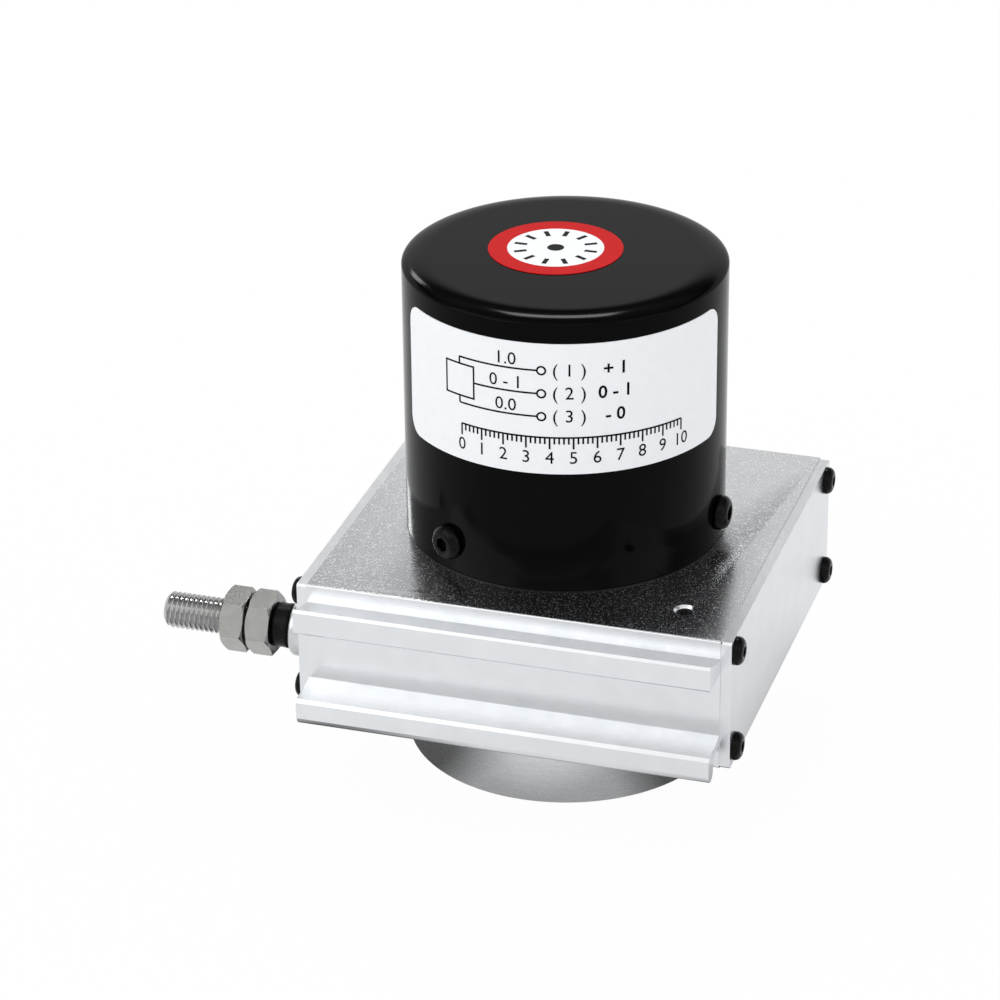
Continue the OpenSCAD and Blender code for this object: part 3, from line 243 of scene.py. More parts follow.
finishLooks = {
    "housing_aluminium": {
        "metal": 1.0, "dark": (0.75, 0.765, 0.78), "light": (0.80, 0.81, 0.825), "rough": (0.21, 0.25),
        "tone": grain(5.0), "roughBy": grain(1.2),
        "relief": [grain(0.12, 0.0008), grain(0.30, 0.0003, stretch=(150, 1, 1))],
        "specks": {**blasted, "on": "housing"}},
    "plate_aluminium": {
        "metal": 1.0, "dark": (0.75, 0.765, 0.78), "light": (0.80, 0.81, 0.82), "rough": (0.27, 0.32),
        "tone": grain(6.0), "roughBy": grain(1.5), "relief": [grain(0.12, 0.0008)],
        "specks": {**blasted, "on": "left_end_plate"}},
    "can_aluminium": {
        "metal": 1.0, "dark": (0.66, 0.67, 0.68), "light": (0.75, 0.755, 0.76), "rough": (0.24, 0.30),
        "tone": grain(3.0, stretch=(1, 1, 0.12)), "roughBy": grain(1.0, stretch=(3, 3, 0.2)),
        "relief": [bands(0.5, 0.0006, wander=2.0), grain(0.14, 0.0008)]},
    "turned_aluminium": {
        "metal": 1.0, "dark": (0.55, 0.56, 0.575), "light": (0.68, 0.69, 0.70), "rough": (0.22, 0.34),
        "tone": grain(2.0), "roughBy": grain(0.8),
        "relief": [rings(0.35, 0.0015, wander=1.0), grain(0.12, 0.0015)]},
    "drum_aluminium": {
        "metal": 1.0, "dark": (0.60, 0.56, 0.48), "light": (0.74, 0.70, 0.62), "rough": (0.25, 0.38),
        "tone": grain(4.0), "roughBy": grain(1.0), "relief": [rings(0.4, 0.002, wander=0.5)]},
    "carrier_black": {
        "metal": 0.0, "dark": (0.002, 0.002, 0.002), "light": (0.005, 0.005, 0.005), "rough": (0.26, 0.34),
        "tone": grain(1.5), "roughBy": grain(0.8), "shine": 0.15,
        "relief": [rings(0.35, 0.0008, wander=1.0)]},
    "black_oxide": {
        "metal": 0.0, "dark": (0.0015, 0.0015, 0.0018), "light": (0.004, 0.004, 0.0045),
        "rough": (0.06, 0.10), "tone": grain(0.8), "roughBy": grain(0.5), "shine": 0.10,
        "relief": [grain(0.10, 0.0002)]},
    "zinc_screws": {
        "metal": 1.0, "dark": (0.52, 0.54, 0.56), "light": (0.66, 0.68, 0.70), "rough": (0.22, 0.36),
        "tone": grain(0.9), "roughBy": grain(0.4), "relief": [grain(0.10, 0.001)]},
    "nickel_nuts": {
        "metal": 1.0, "dark": (0.36, 0.36, 0.345), "light": (0.42, 0.42, 0.405), "rough": (0.19, 0.24),
        "tone": grain(2.4), "roughBy": grain(0.6), "relief": [grain(0.12, 0.0004)]},
    "stainless": {
        "metal": 1.0, "dark": (0.42, 0.42, 0.42), "light": (0.54, 0.54, 0.535), "rough": (0.12, 0.20),
        "tone": grain(1.0), "roughBy": grain(0.5), "relief": [grain(0.10, 0.001)]},
    "wire_steel": {
        "metal": 1.0, "dark": (0.36, 0.37, 0.38), "light": (0.62, 0.63, 0.64), "rough": (0.22, 0.38),
        "tone": grain(0.25), "roughBy": grain(0.2), "relief": [bands(0.5, 0.02, turn=(0, 50, 0))]},
    "spring_steel": {
        "metal": 1.0, "dark": (0.20, 0.21, 0.24), "light": (0.36, 0.37, 0.40), "rough": (0.20, 0.34),
        "tone": grain(2.5), "roughBy": grain(1.0), "relief": [grain(0.3, 0.002, stretch=(1, 1, 0.1))]},
    "bearing_steel": {
        "metal": 1.0, "dark": (0.58, 0.58, 0.59), "light": (0.72, 0.72, 0.73), "rough": (0.08, 0.16),
        "tone": grain(1.5), "roughBy": grain(0.8), "relief": [rings(0.2, 0.0008, wander=0.3)]},
    "cover_paint": {
        "metal": 0.0, "dark": (0.0008, 0.0008, 0.0009), "light": (0.0014, 0.0014, 0.0016),
        "rough": (0.10, 0.12), "tone": grain(4.0), "roughBy": grain(2.5), "shine": 0.05,
        "relief": [grain(0.8, 0.0006), grain(0.15, 0.0003)]},
    "label_white": {
        "metal": 0.0, "dark": (0.92, 0.92, 0.92), "light": (0.95, 0.95, 0.95), "rough": (0.34, 0.46),
        "tone": grain(2.0), "roughBy": grain(1.0), "shine": 0.3, "relief": [grain(0.25, 0.0008)]},
    "label_red": {
        "metal": 0.0, "dark": (0.56, 0.003, 0.004), "light": (0.62, 0.005, 0.006), "rough": (0.32, 0.44),
        "tone": grain(1.5), "roughBy": grain(1.0), "shine": 0.05, "relief": [grain(0.25, 0.0008)]},
    "black_rubber": {
        "metal": 0.0, "dark": (0.002, 0.002, 0.002), "light": (0.005, 0.005, 0.005), "rough": (0.28, 0.38),
        "tone": grain(1.0), "roughBy": grain(0.5), "shine": 0.12, "relief": [grain(0.12, 0.002)]},
    "gland_nylon": {
        "metal": 0.0, "dark": (0.010, 0.010, 0.011), "light": (0.022, 0.022, 0.024), "rough": (0.34, 0.46),
        "tone": grain(2.0), "roughBy": grain(0.8), "shine": 0.45, "relief": [grain(0.20, 0.004)]},
    "ceramic": {
        "metal": 0.0, "dark": (0.80, 0.78, 0.72), "light": (0.90, 0.885, 0.84), "rough": (0.10, 0.18),
        "tone": grain(0.8), "roughBy": grain(0.5), "shine": 0.5, "relief": [grain(0.15, 0.0006)]},
    "brass": {
        "metal": 1.0, "dark": (0.62, 0.44, 0.17), "light": (0.78, 0.58, 0.27), "rough": (0.20, 0.32),
        "tone": grain(1.0), "roughBy": grain(0.5), "relief": [rings(0.25, 0.001, wander=1.0)]},
    "board_green": {
        "metal": 0.0, "dark": (0.008, 0.075, 0.030), "light": (0.014, 0.130, 0.050), "rough": (0.25, 0.38),
        "tone": cells(1.2), "roughBy": grain(0.6), "shine": 0.5, "relief": [cells(1.2, 0.01)]},
    "block_green": {
        "metal": 0.0, "dark": (0.020, 0.22, 0.075), "light": (0.035, 0.30, 0.11), "rough": (0.32, 0.45),
        "tone": grain(1.5), "roughBy": grain(0.5), "shine": 0.45, "relief": [grain(0.2, 0.004)]},
    "pot_blue": {
        "metal": 0.0, "dark": (0.010, 0.035, 0.150), "light": (0.018, 0.055, 0.215), "rough": (0.28, 0.40),
        "tone": grain(2.0), "roughBy": grain(0.8), "shine": 0.5, "relief": [grain(0.25, 0.003)]},
}


def pattern(tree, look):
    # one procedural pattern on the piece's own coordinates, from 0 to 1
    placed = put(tree, "ShaderNodeMapping", {
        "Vector": put(tree, "ShaderNodeTexCoord").outputs["Object"],
        "Rotation": tuple(math.radians(a) for a in look.get("turn", (0, 0, 0))),
        "Scale": tuple(look["size"] * mm * s for s in look.get("stretch", (1, 1, 1)))}, vector_type="TEXTURE")
    sockets = {"Vector": placed.outputs["Vector"], "Scale": 1.0}
    if look["kind"] == "grain":
        return put(tree, "ShaderNodeTexNoise", {**sockets, "Detail": 3.0, "Roughness": 0.55}).outputs["Fac"]
    if look["kind"] == "cells":
        tinted = put(tree, "ShaderNodeTexVoronoi", {**sockets, "Randomness": 1.0}).outputs["Color"]
        return put(tree, "ShaderNodeSeparateColor", {0: tinted}).outputs[0]
    sockets.update({"Scale": 0.5, "Distortion": look.get("wander", 0.0), "Detail": 2.0})
    wave = put(tree, "ShaderNodeTexWave", sockets, wave_type=look["kind"].upper())
    wave.rings_direction = wave.bands_direction = "Z"
    return wave.outputs["Fac"]


def mixed(tree, factor, first, second):
    node = put(tree, "ShaderNodeMix", data_type="RGBA")
    for index, value in ((0, factor), (6, first), (7, second)):
        if isinstance(value, bpy.types.NodeSocket):
            tree.links.new(value, node.inputs[index])
        else:
            node.inputs[index].default_value = (*value, 1)
    return node.outputs[2]


def makeFinish(slotName, look):
    first, *others = slotName.split("_")
    material = bpy.data.materials.new(first + "".join(word.capitalize() for word in others) + "Finish")
    material.use_nodes = True
    tree = material.node_tree
    shader = tree.nodes["Principled BSDF"]
    tone = ranged(tree, pattern(tree, look["tone"]), 0, 1)
    colour = mixed(tree, tone, look["dark"], look["light"])
    rough = ranged(tree, pattern(tree, look["roughBy"]), *look["rough"])
    if "specks" in look:
        specks = look["specks"]
        chosen = ranged(tree, pattern(tree, cells(specks["size"])), 0, 1,
                        1 - specks["share"], 1 - specks["share"] * specks["soft"])
        place = put(tree, "ShaderNodeSeparateXYZ", {0: put(tree, "ShaderNodeTexCoord").outputs["Object"]})
        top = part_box(specks["on"])[1].z - specks["deep"] * mm
        chosen = calc(tree, "MULTIPLY", chosen, calc(tree, "GREATER_THAN", place.outputs["Z"], top))
        colour = mixed(tree, chosen, colour, specks["colour"])
        rough = put(tree, "ShaderNodeMix", {0: chosen, 2: rough, 3: specks["rough"]}).outputs[0]
    normal = None
    for layer in look["relief"]:
        bump = put(tree, "ShaderNodeBump", {"Height": pattern(tree, layer), "Strength": 1.0,
                                            "Distance": layer["height"] * mm})
        if normal is not None:
            tree.links.new(normal, bump.inputs["Normal"])
        normal = bump.outputs["Normal"]
    tree.links.new(colour, shader.inputs["Base Color"])
    tree.links.new(rough, shader.inputs["Roughness"])
    tree.links.new(normal, shader.inputs["Normal"])
    shader.inputs["Metallic"].default_value = look["metal"]
    shader.inputs["Specular IOR Level"].default_value = look.get("shine", 0.5)
    return material


finishes = {slotName: makeFinish(slotName, look) for slotName, look in finishLooks.items()}

for name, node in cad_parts.items():
    for place in node.material_slots:
        place.material = finishes[place.material.name.split(".")[0]]
print("finishes ready:", len(finishes))


# making and placing meshes

def inMetres(look, *keys):
    return [look[key] * mm for key in keys]


def smoothed(obj, angle):
    # round faces shade smooth, and edges sharper than the angle stay sharp
    obj.data.shade_smooth()
    obj.data.set_sharp_from_angle(angle=math.radians(angle))
    return obj


def newPiece(name, mesh=None, finish=None, smooth=0):
    obj = addToScene(name, mesh or bpy.data.meshes.new(name))
    if finish:
        obj.data.materials.clear()
        obj.data.materials.append(finishes[finish])
    return smoothed(obj, smooth) if smooth else obj


def meshFrom(name, vertices, faces, weld=None):
    mesh = bpy.data.meshes.new(name)
    mesh.from_pydata([tuple(v) for v in vertices], [], faces)
    shape = bmesh.new()
    shape.from_mesh(mesh)
    if weld:
        bmesh.ops.remove_doubles(shape, verts=shape.verts, dist=weld)
    bmesh.ops.recalc_face_normals(shape, faces=shape.faces)
    shape.to_mesh(mesh)
    shape.free()
    return mesh


def evaluated(obj):
    bpy.context.view_layer.update()
    return bpy.data.meshes.new_from_object(obj.evaluated_get(bpy.context.evaluated_depsgraph_get()))


def settled(obj):
    # what the modifiers make becomes the mesh itself
    mesh = evaluated(obj)
    obj.modifiers.clear()
    obj.data = mesh
    return obj


def seat(obj, body, slotName, *nodes):
    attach(obj, body)
    if nodes:
        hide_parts(*nodes)
    return obj


def lofted(name, loops):
    # closed skin through loops of equally many points, its ends closed by points or by each other
    count = len(loops[0])
    faces = []
    for first in range(0, (len(loops) - 1) * count, count):
        for i in range(count):
            j = (i + 1) % count
            faces.append((first + i, first + j, first + count + j, first + count + i))
    return meshFrom(name, [point for loop in loops for point in loop], faces, 1e-7)


def revolved(name, profile, steps, centre, lying=False):
    # profile points are (radius, height) in metres; heights run along +Z, or lying along -X
    turns = [(math.cos(whole * i / steps), math.sin(whole * i / steps)) for i in range(steps)]
    x, y, z = centre
    if lying:
        return lofted(name, [[(x - h, y + r * c, z + r * s) for c, s in turns] for r, h in profile])
    return lofted(name, [[(x + r * c, y + r * s, z + h) for c, s in turns] for r, h in profile])


def turnedPiece(name, profile, centre, finish, body, nodeName, steps=256, smooth=35, lying=False):
    piece = newPiece(name, revolved(name, profile, steps, centre, lying), finish, smooth)
    seat(piece, body, finish, *([nodeName] if nodeName else []))


def arc(centreR, centreH, radius, fromAngle, toAngle, steps):
    angles = [math.radians(fromAngle + (toAngle - fromAngle) * i / steps) for i in range(steps + 1)]
    return [(centreR + radius * math.cos(a), centreH + radius * math.sin(a)) for a in angles]


edgeLook = {"weld": 0.002, "flat": 0.4, "sharp": 30.0, "segments": 2}     # millimetres and degrees


def edgedPiece(nodeName, pieceName, finish, edge, body="root"):
    # the CAD node's own shape, welded, with its edges broken as on the real part
    shape = bmesh.new()
    shape.from_mesh(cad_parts[nodeName].data)
    bmesh.ops.remove_doubles(shape, verts=shape.verts, dist=edgeLook["weld"] * mm)
    bmesh.ops.dissolve_limit(shape, angle_limit=math.radians(edgeLook["flat"]), verts=shape.verts,
                             edges=shape.edges)
    mesh = bpy.data.meshes.new(pieceName)
    shape.to_mesh(mesh)
    shape.free()
    obj = newPiece(pieceName, mesh, finish, edgeLook["sharp"])
    bevel = obj.modifiers.new("brokenEdges", "BEVEL")
    bevel.width, bevel.segments = edge * mm, edgeLook["segments"]
    bevel.limit_method, bevel.angle_limit = "ANGLE", math.radians(edgeLook["sharp"])
    bevel.use_clamp_overlap, bevel.harden_normals = True, True
    seat(settled(obj), body, finish, nodeName)


def newTree(name, inputs):
    tree = bpy.data.node_groups.new(name, "GeometryNodeTree")
    tree.interface.new_socket("Geometry", in_out="INPUT", socket_type="NodeSocketGeometry")
    for label, kind, value in inputs:
        socket = tree.interface.new_socket(label, in_out="INPUT", socket_type="NodeSocket" + kind)
        if value is not None:
            socket.default_value = value
    tree.interface.new_socket("Material", in_out="INPUT", socket_type="NodeSocketMaterial")
    tree.interface.new_socket("Geometry", in_out="OUTPUT", socket_type="NodeSocketGeometry")
    return tree, put(tree, "NodeGroupInput").outputs


def closeTree(tree, geometry, given):
    real = put(tree, "GeometryNodeRealizeInstances", {0: geometry}).outputs[0]
    dressed = put(tree, "GeometryNodeSetMaterial", {"Geometry": real, "Material": given["Material"]})
    put(tree, "NodeGroupOutput", {0: dressed.outputs[0]})
    return tree


def joined(tree, x=0.0, y=0.0, z=0.0):
    return put(tree, "ShaderNodeCombineXYZ", {"X": x, "Y": y, "Z": z}).outputs[0]


def pointXYZ(tree):
    place = put(tree, "GeometryNodeInputPosition").outputs[0]
    return put(tree, "ShaderNodeSeparateXYZ", {0: place}).outputs


def runTree(obj, tree, values, finish):
    values = {**values, "Material": finishes[finish]}
    modifier = obj.modifiers.new(tree.name, "NODES")
    modifier.node_group = tree
    for item in tree.interface.items_tree:
        if item.item_type == "SOCKET" and item.in_out == "INPUT" and item.name in values:
            modifier[item.identifier] = values[item.name]
    return settled(obj)


# housing and end plates

housingEdges = {"housing": 0.22, "plate": 0.26, "ring": 0.10}

edgedPiece("housing", "railedHousing", "housing_aluminium", housingEdges["housing"])
for side in ("left", "right"):
    edgedPiece(side + "_end_plate", side + "Plate", "plate_aluminium", housingEdges["plate"])
edgedPiece("sensor_carrier", "carrierRing", "carrier_black", housingEdges["ring"])

jointLook = {"thick": 0.26, "below": 0.06, "wide": 1.2}


def jointGasket(name, x, look):
    # thin dark frame where a plate meets the housing: painted shade of the gap, drawn as a line
    low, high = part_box("left_end_plate")
    below, inward, half = look["below"] * mm, (look["below"] + look["wide"]) * mm, look["thick"] / 2 * mm
    loops = []
    for inset, side in ((below, -1), (below, 1), (inward, 1), (inward, -1), (below, -1)):
        loops.append([(x + side * half, y, z) for y, z in (
            (low.y + inset, low.z + inset), (high.y - inset, low.z + inset),
            (high.y - inset, high.z - inset), (low.y + inset, high.z - inset))])
    seat(newPiece(name, lofted(name, loops), "black_rubber", 30), "root", "black_rubber")


# painted shade: a dark strip at each plate joint stands for the shadow in the gap
for side, end in zip(("left", "right"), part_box("housing")):
    jointGasket(side + "Gasket", end.x, jointLook)
print("housing, end plates, jointShadeStrips and carrier ring")


# button-head screws

# key is the socket's corner radius and floor its depth left, as shares of the thread and of the rise
plateScrews = {"thread": 3.0, "head": 5.4, "rise": 1.65, "length": 10.0, "key": 0.36, "floor": 0.36,
               "flat": 0.50, "edge": 0.1, "sharp": 28, "steps": 48, "turnStep": 0.9}
coverScrews = {**plateScrews, "thread": 4.0, "head": 6.8, "rise": 2.1, "length": 5.8,
               "angles": (-29, 88, 210), "gap": 0.02}


def screwShape(name, look):
    headR, rise, shankR = look["head"] / 2 * mm, look["rise"] * mm, look["thread"] / 2 * mm
    keyR, flatR = look["thread"] * look["key"] * mm, headR * look["flat"]
    floor, edge, steps = rise * look["floor"], look["edge"] * mm, look["steps"]

    def ring(radius, height, six=False):
        loop = []
        for i in range(steps):
            a = whole * i / steps
            off = (a % (whole / 6)) - whole / 12
            r = radius * math.cos(math.pi / 6) / math.cos(off) if six else radius
            loop.append((r * math.cos(a), r * math.sin(a), height))
        return loop

    length = look["length"] * mm
    loops = [ring(0, -length), ring(shankR * 0.7, -length), ring(shankR, -length + shankR * 0.4),
             ring(shankR, 0), ring(headR - edge, 0)]
    loops += [ring(r, h) for r, h in arc(headR - edge, 1.2 * edge, edge, -60, 0, 3)]
    domed = [(flatR + (headR - flatR) * math.sin(a), rise * (0.2 + 0.8 * math.cos(a)))
             for a in (math.radians(84 - 12 * i) for i in range(7))]
    loops += [ring(r, h) for r, h in domed]
    loops += [ring(flatR * 0.97, rise), ring(keyR * 1.12, rise), ring(keyR * 1.04, rise - 0.5 * edge, True),
              ring(keyR, rise - 1.4 * edge, True), ring(keyR, floor, True),
              ring(keyR * 0.5, floor - 1.5 * edge, True), ring(0, floor - 2.5 * edge)]
    return lofted(name, loops)


def screwTree():
    tree, given = newTree("screwsAtPlaces", [("Screw", "Object", None), ("Turn Step", "Float", 0.7)])
    shape = put(tree, "GeometryNodeObjectInfo", {"Object": given["Screw"]})
    outward = put(tree, "GeometryNodeInputNamedAttribute", {"Name": "outward"}, data_type="FLOAT_VECTOR")
    aimed = put(tree, "FunctionNodeAlignRotationToVector", {"Vector": outward.outputs["Attribute"]}, axis="Z")
    spin = calc(tree, "MULTIPLY", put(tree, "GeometryNodeInputIndex").outputs[0], given["Turn Step"])
    rolled = put(tree, "FunctionNodeEulerToRotation", {0: joined(tree, z=spin)})
    turned = put(tree, "FunctionNodeRotateRotation", {0: aimed.outputs[0], 1: rolled.outputs[0]},
                 rotation_space="LOCAL")
    placed = put(tree, "GeometryNodeInstanceOnPoints", {
        "Points": given["Geometry"], "Instance": shape.outputs["Geometry"], "Rotation": turned.outputs[0]})
    return closeTree(tree, placed.outputs[0], given)


def screwSet(tree, name, look, places, nodeName):
    template = newPiece(name + "Shape", screwShape(name + "Shape", look), "black_oxide", look["sharp"])
    obj = newPiece(name)
    obj.data.from_pydata([place for place, outward in places], [], [])
    aim = obj.data.attributes.new("outward", "FLOAT_VECTOR", "POINT")
    for i, (place, outward) in enumerate(places):
        aim.data[i].vector = outward
    runTree(obj, tree, {"Screw": template, "Turn Step": look["turnStep"]}, "black_oxide")
    bpy.data.objects.remove(template)
    seat(smoothed(obj, look["sharp"]), "root", "black_oxide", nodeName)


screws = screwTree()
for side, sign in (("left", -1), ("right", 1)):
    low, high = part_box(side + "_plate_screws")
    r, rise = plateScrews["head"] / 2 * mm, plateScrews["rise"] * mm
    x = (low.x + rise) if sign < 0 else (high.x - rise)
    places = [((x, y, z), (sign, 0, 0)) for y in (low.y + r, high.y - r) for z in (low.z + r, high.z - r)]
    screwSet(screws, side + "PlateScrews", plateScrews, places, side + "_plate_screws")

low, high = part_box("cover_screws")
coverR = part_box("sensor_cover")[1].x
places = []
for angle in coverScrews["angles"]:
    a = math.radians(angle)
    out = Vector((math.sin(a), -math.cos(a), 0))
    place = out * (coverR + coverScrews["gap"] * mm) + Vector((0, 0, (low.z + high.z) / 2))
    places.append((tuple(place), tuple(out)))
screwSet(screws, "coverScrews", coverScrews, places, "cover_screws")
print("screws")


# cover, can and bumper

coverLook = {"edgeWide": 5.2, "edgeHigh": 1.6, "inner": 1.4, "wall": 1.8, "foot": 0.25}
canLook = {"edge": 1.2, "wall": 4.0, "floor": 1.5, "lip": 0.2}

low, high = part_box("sensor_cover")
outerR, height = high.x, high.z - low.z
wide, tall, inner, wall, foot = inMetres(coverLook, "edgeWide", "edgeHigh", "inner", "wall", "foot")
profile = [(outerR - wall, 0), (outerR - foot, 0)] + arc(outerR - foot, foot, foot, -60, 0, 3)
profile += [(outerR, height * part) for part in (0.25, 0.5, 0.75)]
profile += [(outerR - wide * (1 - math.cos(a)), height - tall * (1 - math.sin(a)))
            for a in (math.radians(4 * i) for i in range(23))]
profile += [((outerR - wide) * part, height) for part in (0.985, 0.8, 0.5, 0.2, 0)]
profile += [(0, height - wall)] + arc(outerR - wall - inner, height - wall - inner, inner, 90, 0, 6)
profile += [(outerR - wall, 0)]
turnedPiece("roundCover", profile, (0, 0, low.z), "cover_paint", "root", "sensor_cover")

low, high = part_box("spring_can")
outerR, height = high.x, high.z - low.z
edge, lip, wall, floor = inMetres(canLook, "edge", "lip", "wall", "floor")
profile = [(0, 0), (outerR * 0.5, 0), (outerR - edge * 1.02, 0)] + arc(outerR - edge, edge, edge, -88, 0, 10)
profile += [(outerR, height * 0.5), (outerR, height - lip), (outerR - lip, height)]
profile += [(outerR - wall, height), (outerR - wall, floor), (0, floor)]
turnedPiece("springCan", profile, (0, 0, low.z), "can_aluminium", "root", "spring_can")

bumperLook = {"edge": 0.7, "bore": 0.9, "waist": 0.15, "floor": 0.6, "gap": 0.05, "rim": 0.15}
low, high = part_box("stud")
socketR = (high.z - low.z) / 2 + bumperLook["gap"] * mm
low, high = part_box("bumper")
outerR, length, edge = (high.z - low.z) / 2, high.x - low.x, bumperLook["edge"] * mm
axisY, axisZ = (low.y + high.y) / 2, (low.z + high.z) / 2
bore, waist, floor, rim = inMetres(bumperLook, "bore", "waist", "floor", "rim")
profile = [(bore, rim), (bore + rim, 0), (outerR - edge, 0)] + arc(outerR - edge, edge, edge, -80, 0, 6)
profile += [(outerR - waist, length * 0.5)] + arc(outerR - edge, length - edge, edge, 0, 80, 6)
profile += [(outerR - edge, length), (socketR, length), (socketR, floor), (bore, floor), (bore, rim)]
turnedPiece("rubberBumper", profile, (high.x, axisY, axisZ), "black_rubber", "wire_end", "bumper",
            64, 50, True)
print("cover, can and bumper")


# wire outlet, stud and nuts

edgedPiece("wire_outlet", "outletNose", "turned_aluminium", 0.10)

bushLook = {"bore": 0.45, "flare": 0.9, "inEdge": 0.2, "outEdge": 0.3}
low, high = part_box("guide_bush")
outerR, length = (high.z - low.z) / 2, high.x - low.x
bore, flare, inEdge, outEdge = inMetres(bushLook, "bore", "flare", "inEdge", "outEdge")
profile = [(outerR, inEdge), (outerR, length - outEdge), (outerR - outEdge, length)]
curve = [(flare * math.cos(math.radians(a)), flare * math.sin(math.radians(a))) for a in range(0, 91, 15)]
profile += [(bore + flare - s, length - flare + c) for c, s in curve]
profile += [(bore + flare - c, flare - s) for c, s in curve]
profile += [(outerR - inEdge, 0), (outerR, inEdge)]
turnedPiece("ceramicGuide", profile, (high.x, (low.y + high.y) / 2, (low.z + high.z) / 2), "ceramic",
            "root", "guide_bush", 64, 40, True)

studLook = {"pitch": 1.0, "depth": 0.61, "chamfer": 0.75, "around": 64, "perTurn": 12}


def threadTree():
    tree, given = newTree("threadedRod", [
        ("Radius", "Float", 3 * mm), ("Depth", "Float", 0.6 * mm), ("Pitch", "Float", 1 * mm),
        ("Length", "Float", 24 * mm), ("Chamfer", "Float", 0.7 * mm), ("Start", "Vector", (0, 0, 0)),
        ("Around", "Int", 48), ("Rows", "Int", 240), ("Per Turn", "Float", 10.0)])
    sheet = put(tree, "GeometryNodeMeshGrid", {
        "Size X": 1.0, "Size Y": 1.0, "Vertices X": calc(tree, "ADD", given["Around"], 1.0),
        "Vertices Y": given["Rows"]})
    place = pointXYZ(tree)
    turn = calc(tree, "ADD", place["X"], 0.5)
    last = calc(tree, "SUBTRACT", given["Rows"], 1.0)
    row = calc(tree, "ROUND", calc(tree, "MULTIPLY", calc(tree, "ADD", place["Y"], 0.5), last))
    # every row climbs one pitch in its turn, so the rows follow the thread
    turnsUp = calc(tree, "DIVIDE", row, given["Per Turn"])
    climbed = calc(tree, "ADD", turnsUp, calc(tree, "SUBTRACT", turn, 1.0))
    climbed = calc(tree, "MULTIPLY", climbed, given["Pitch"])
    along = calc(tree, "MINIMUM", calc(tree, "MAXIMUM", climbed, 0.0), given["Length"])
    saw = calc(tree, "FRACT", calc(tree, "ADD", turnsUp, 1e-4))
    wave = calc(tree, "ABSOLUTE", calc(tree, "MULTIPLY_ADD", saw, 2.0, -1.0))
    crest = ranged(tree, wave, 0.0, 1.0, 0.10, 0.90)     # flat crests and roots, a tenth of the flank each
    groove = calc(tree, "MULTIPLY", calc(tree, "SUBTRACT", 1.0, crest), given["Depth"])
    body = calc(tree, "SUBTRACT", given["Radius"], groove)
    toEnd = calc(tree, "MINIMUM", calc(tree, "SUBTRACT", given["Length"], along), along)
    cone = calc(tree, "ADD", calc(tree, "SUBTRACT", given["Radius"], given["Chamfer"]), toEnd)
    # the first and the last row shrink to a point and close the ends
    near, far = (put(tree, "ShaderNodeClamp", {0: rows}).outputs[0]
                 for rows in (row, calc(tree, "SUBTRACT", last, row)))
    radius = calc(tree, "MULTIPLY", calc(tree, "MINIMUM", body, cone), calc(tree, "MULTIPLY", near, far))
    angle = calc(tree, "MULTIPLY", turn, whole)
    ring = joined(tree, calc(tree, "MULTIPLY", along, -1.0),
                  calc(tree, "MULTIPLY", radius, calc(tree, "COSINE", angle)),
                  calc(tree, "MULTIPLY", radius, calc(tree, "SINE", angle)))
    moved = put(tree, "ShaderNodeVectorMath", {0: ring, 1: given["Start"]}, operation="ADD")
    shaped = put(tree, "GeometryNodeSetPosition", {
        "Geometry": sheet.outputs["Mesh"], "Position": moved.outputs[0]})
    closed = put(tree, "GeometryNodeMergeByDistance", {"Geometry": shaped.outputs[0], "Distance": 1e-6})
    return closeTree(tree, closed.outputs[0], given)


def outwardFaces(obj):
    shape = bmesh.new()
    shape.from_mesh(obj.data)
    bmesh.ops.dissolve_degenerate(shape, dist=1e-8, edges=shape.edges)
    bmesh.ops.recalc_face_normals(shape, faces=shape.faces)
    shape.to_mesh(obj.data)
    shape.free()
    return obj


low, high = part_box("stud")
studY, studZ = (low.y + high.y) / 2, (low.z + high.z) / 2
turns = (high.x - low.x) / (studLook["pitch"] * mm)
stud = newPiece("threadedStud")
runTree(stud, threadTree(), {
    "Radius": (high.z - low.z) / 2, "Depth": studLook["depth"] * mm, "Pitch": studLook["pitch"] * mm,
    "Length": high.x - low.x, "Chamfer": studLook["chamfer"] * mm, "Start": (high.x, studY, studZ),
    "Around": studLook["around"], "Rows": (math.ceil(turns) + 1) * studLook["perTurn"] + 2,
    "Per Turn": float(studLook["perTurn"])}, "stainless")
smoothed(outwardFaces(stud), 50)
seat(stud, "wire_end", "stainless", "stud")

nutLook = {"edge": 0.16}
for nut, body in (("inner", "wire_end"), ("outer", "outer_nut")):
    edgedPiece(nut + "_nut", nut + "HexNut", "nickel_nuts", nutLook["edge"], body)
print("outlet, stud and nuts")


# draw wire

wireLook = {"sides": 16, "ringsPerMm": 1.5, "gap": 0.05}


def tubeAlong(name, points, radius, sides):
    loops = []
    for i, point in enumerate(points):
        ahead = (points[min(i + 1, len(points) - 1)] - points[max(i - 1, 0)]).normalized()
        side = ahead.cross(Vector((0, 0, 1))).normalized()
        up = side.cross(ahead)
        loops.append([tuple(point + (side * math.cos(a) + up * math.sin(a)) * radius)
                      for a in (whole * k / sides for k in range(sides))])
    loops = [[tuple(points[0])] * sides] + loops + [[tuple(points[-1])] * sides]
    return lofted(name, loops)


low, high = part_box("wire_run")
guideLow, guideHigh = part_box("guide_bush")
wireR = (high.y - low.y) / 2
wireY = (high.y + low.y) / 2
fromDrum = Vector((high.x - wireLook["gap"] * mm, wireY, high.z - wireR))
atGuide = Vector((guideHigh.x, wireY, studZ))
inFerrule = Vector((low.x, wireY, studZ))
points = []
for first, second in ((fromDrum, atGuide), (atGuide, inFerrule)):
    count = max(2, int((second - first).length / mm * wireLook["ringsPerMm"]))
    points += [first.lerp(second, i / count) for i in range(count)]
points.append(inFerrule)
wire = newPiece("drawWire", tubeAlong("drawWire", points, wireR, wireLook["sides"]), "wire_steel", 60)
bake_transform(wire)
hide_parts("wire_run")
print("draw wire")


# side label with its print

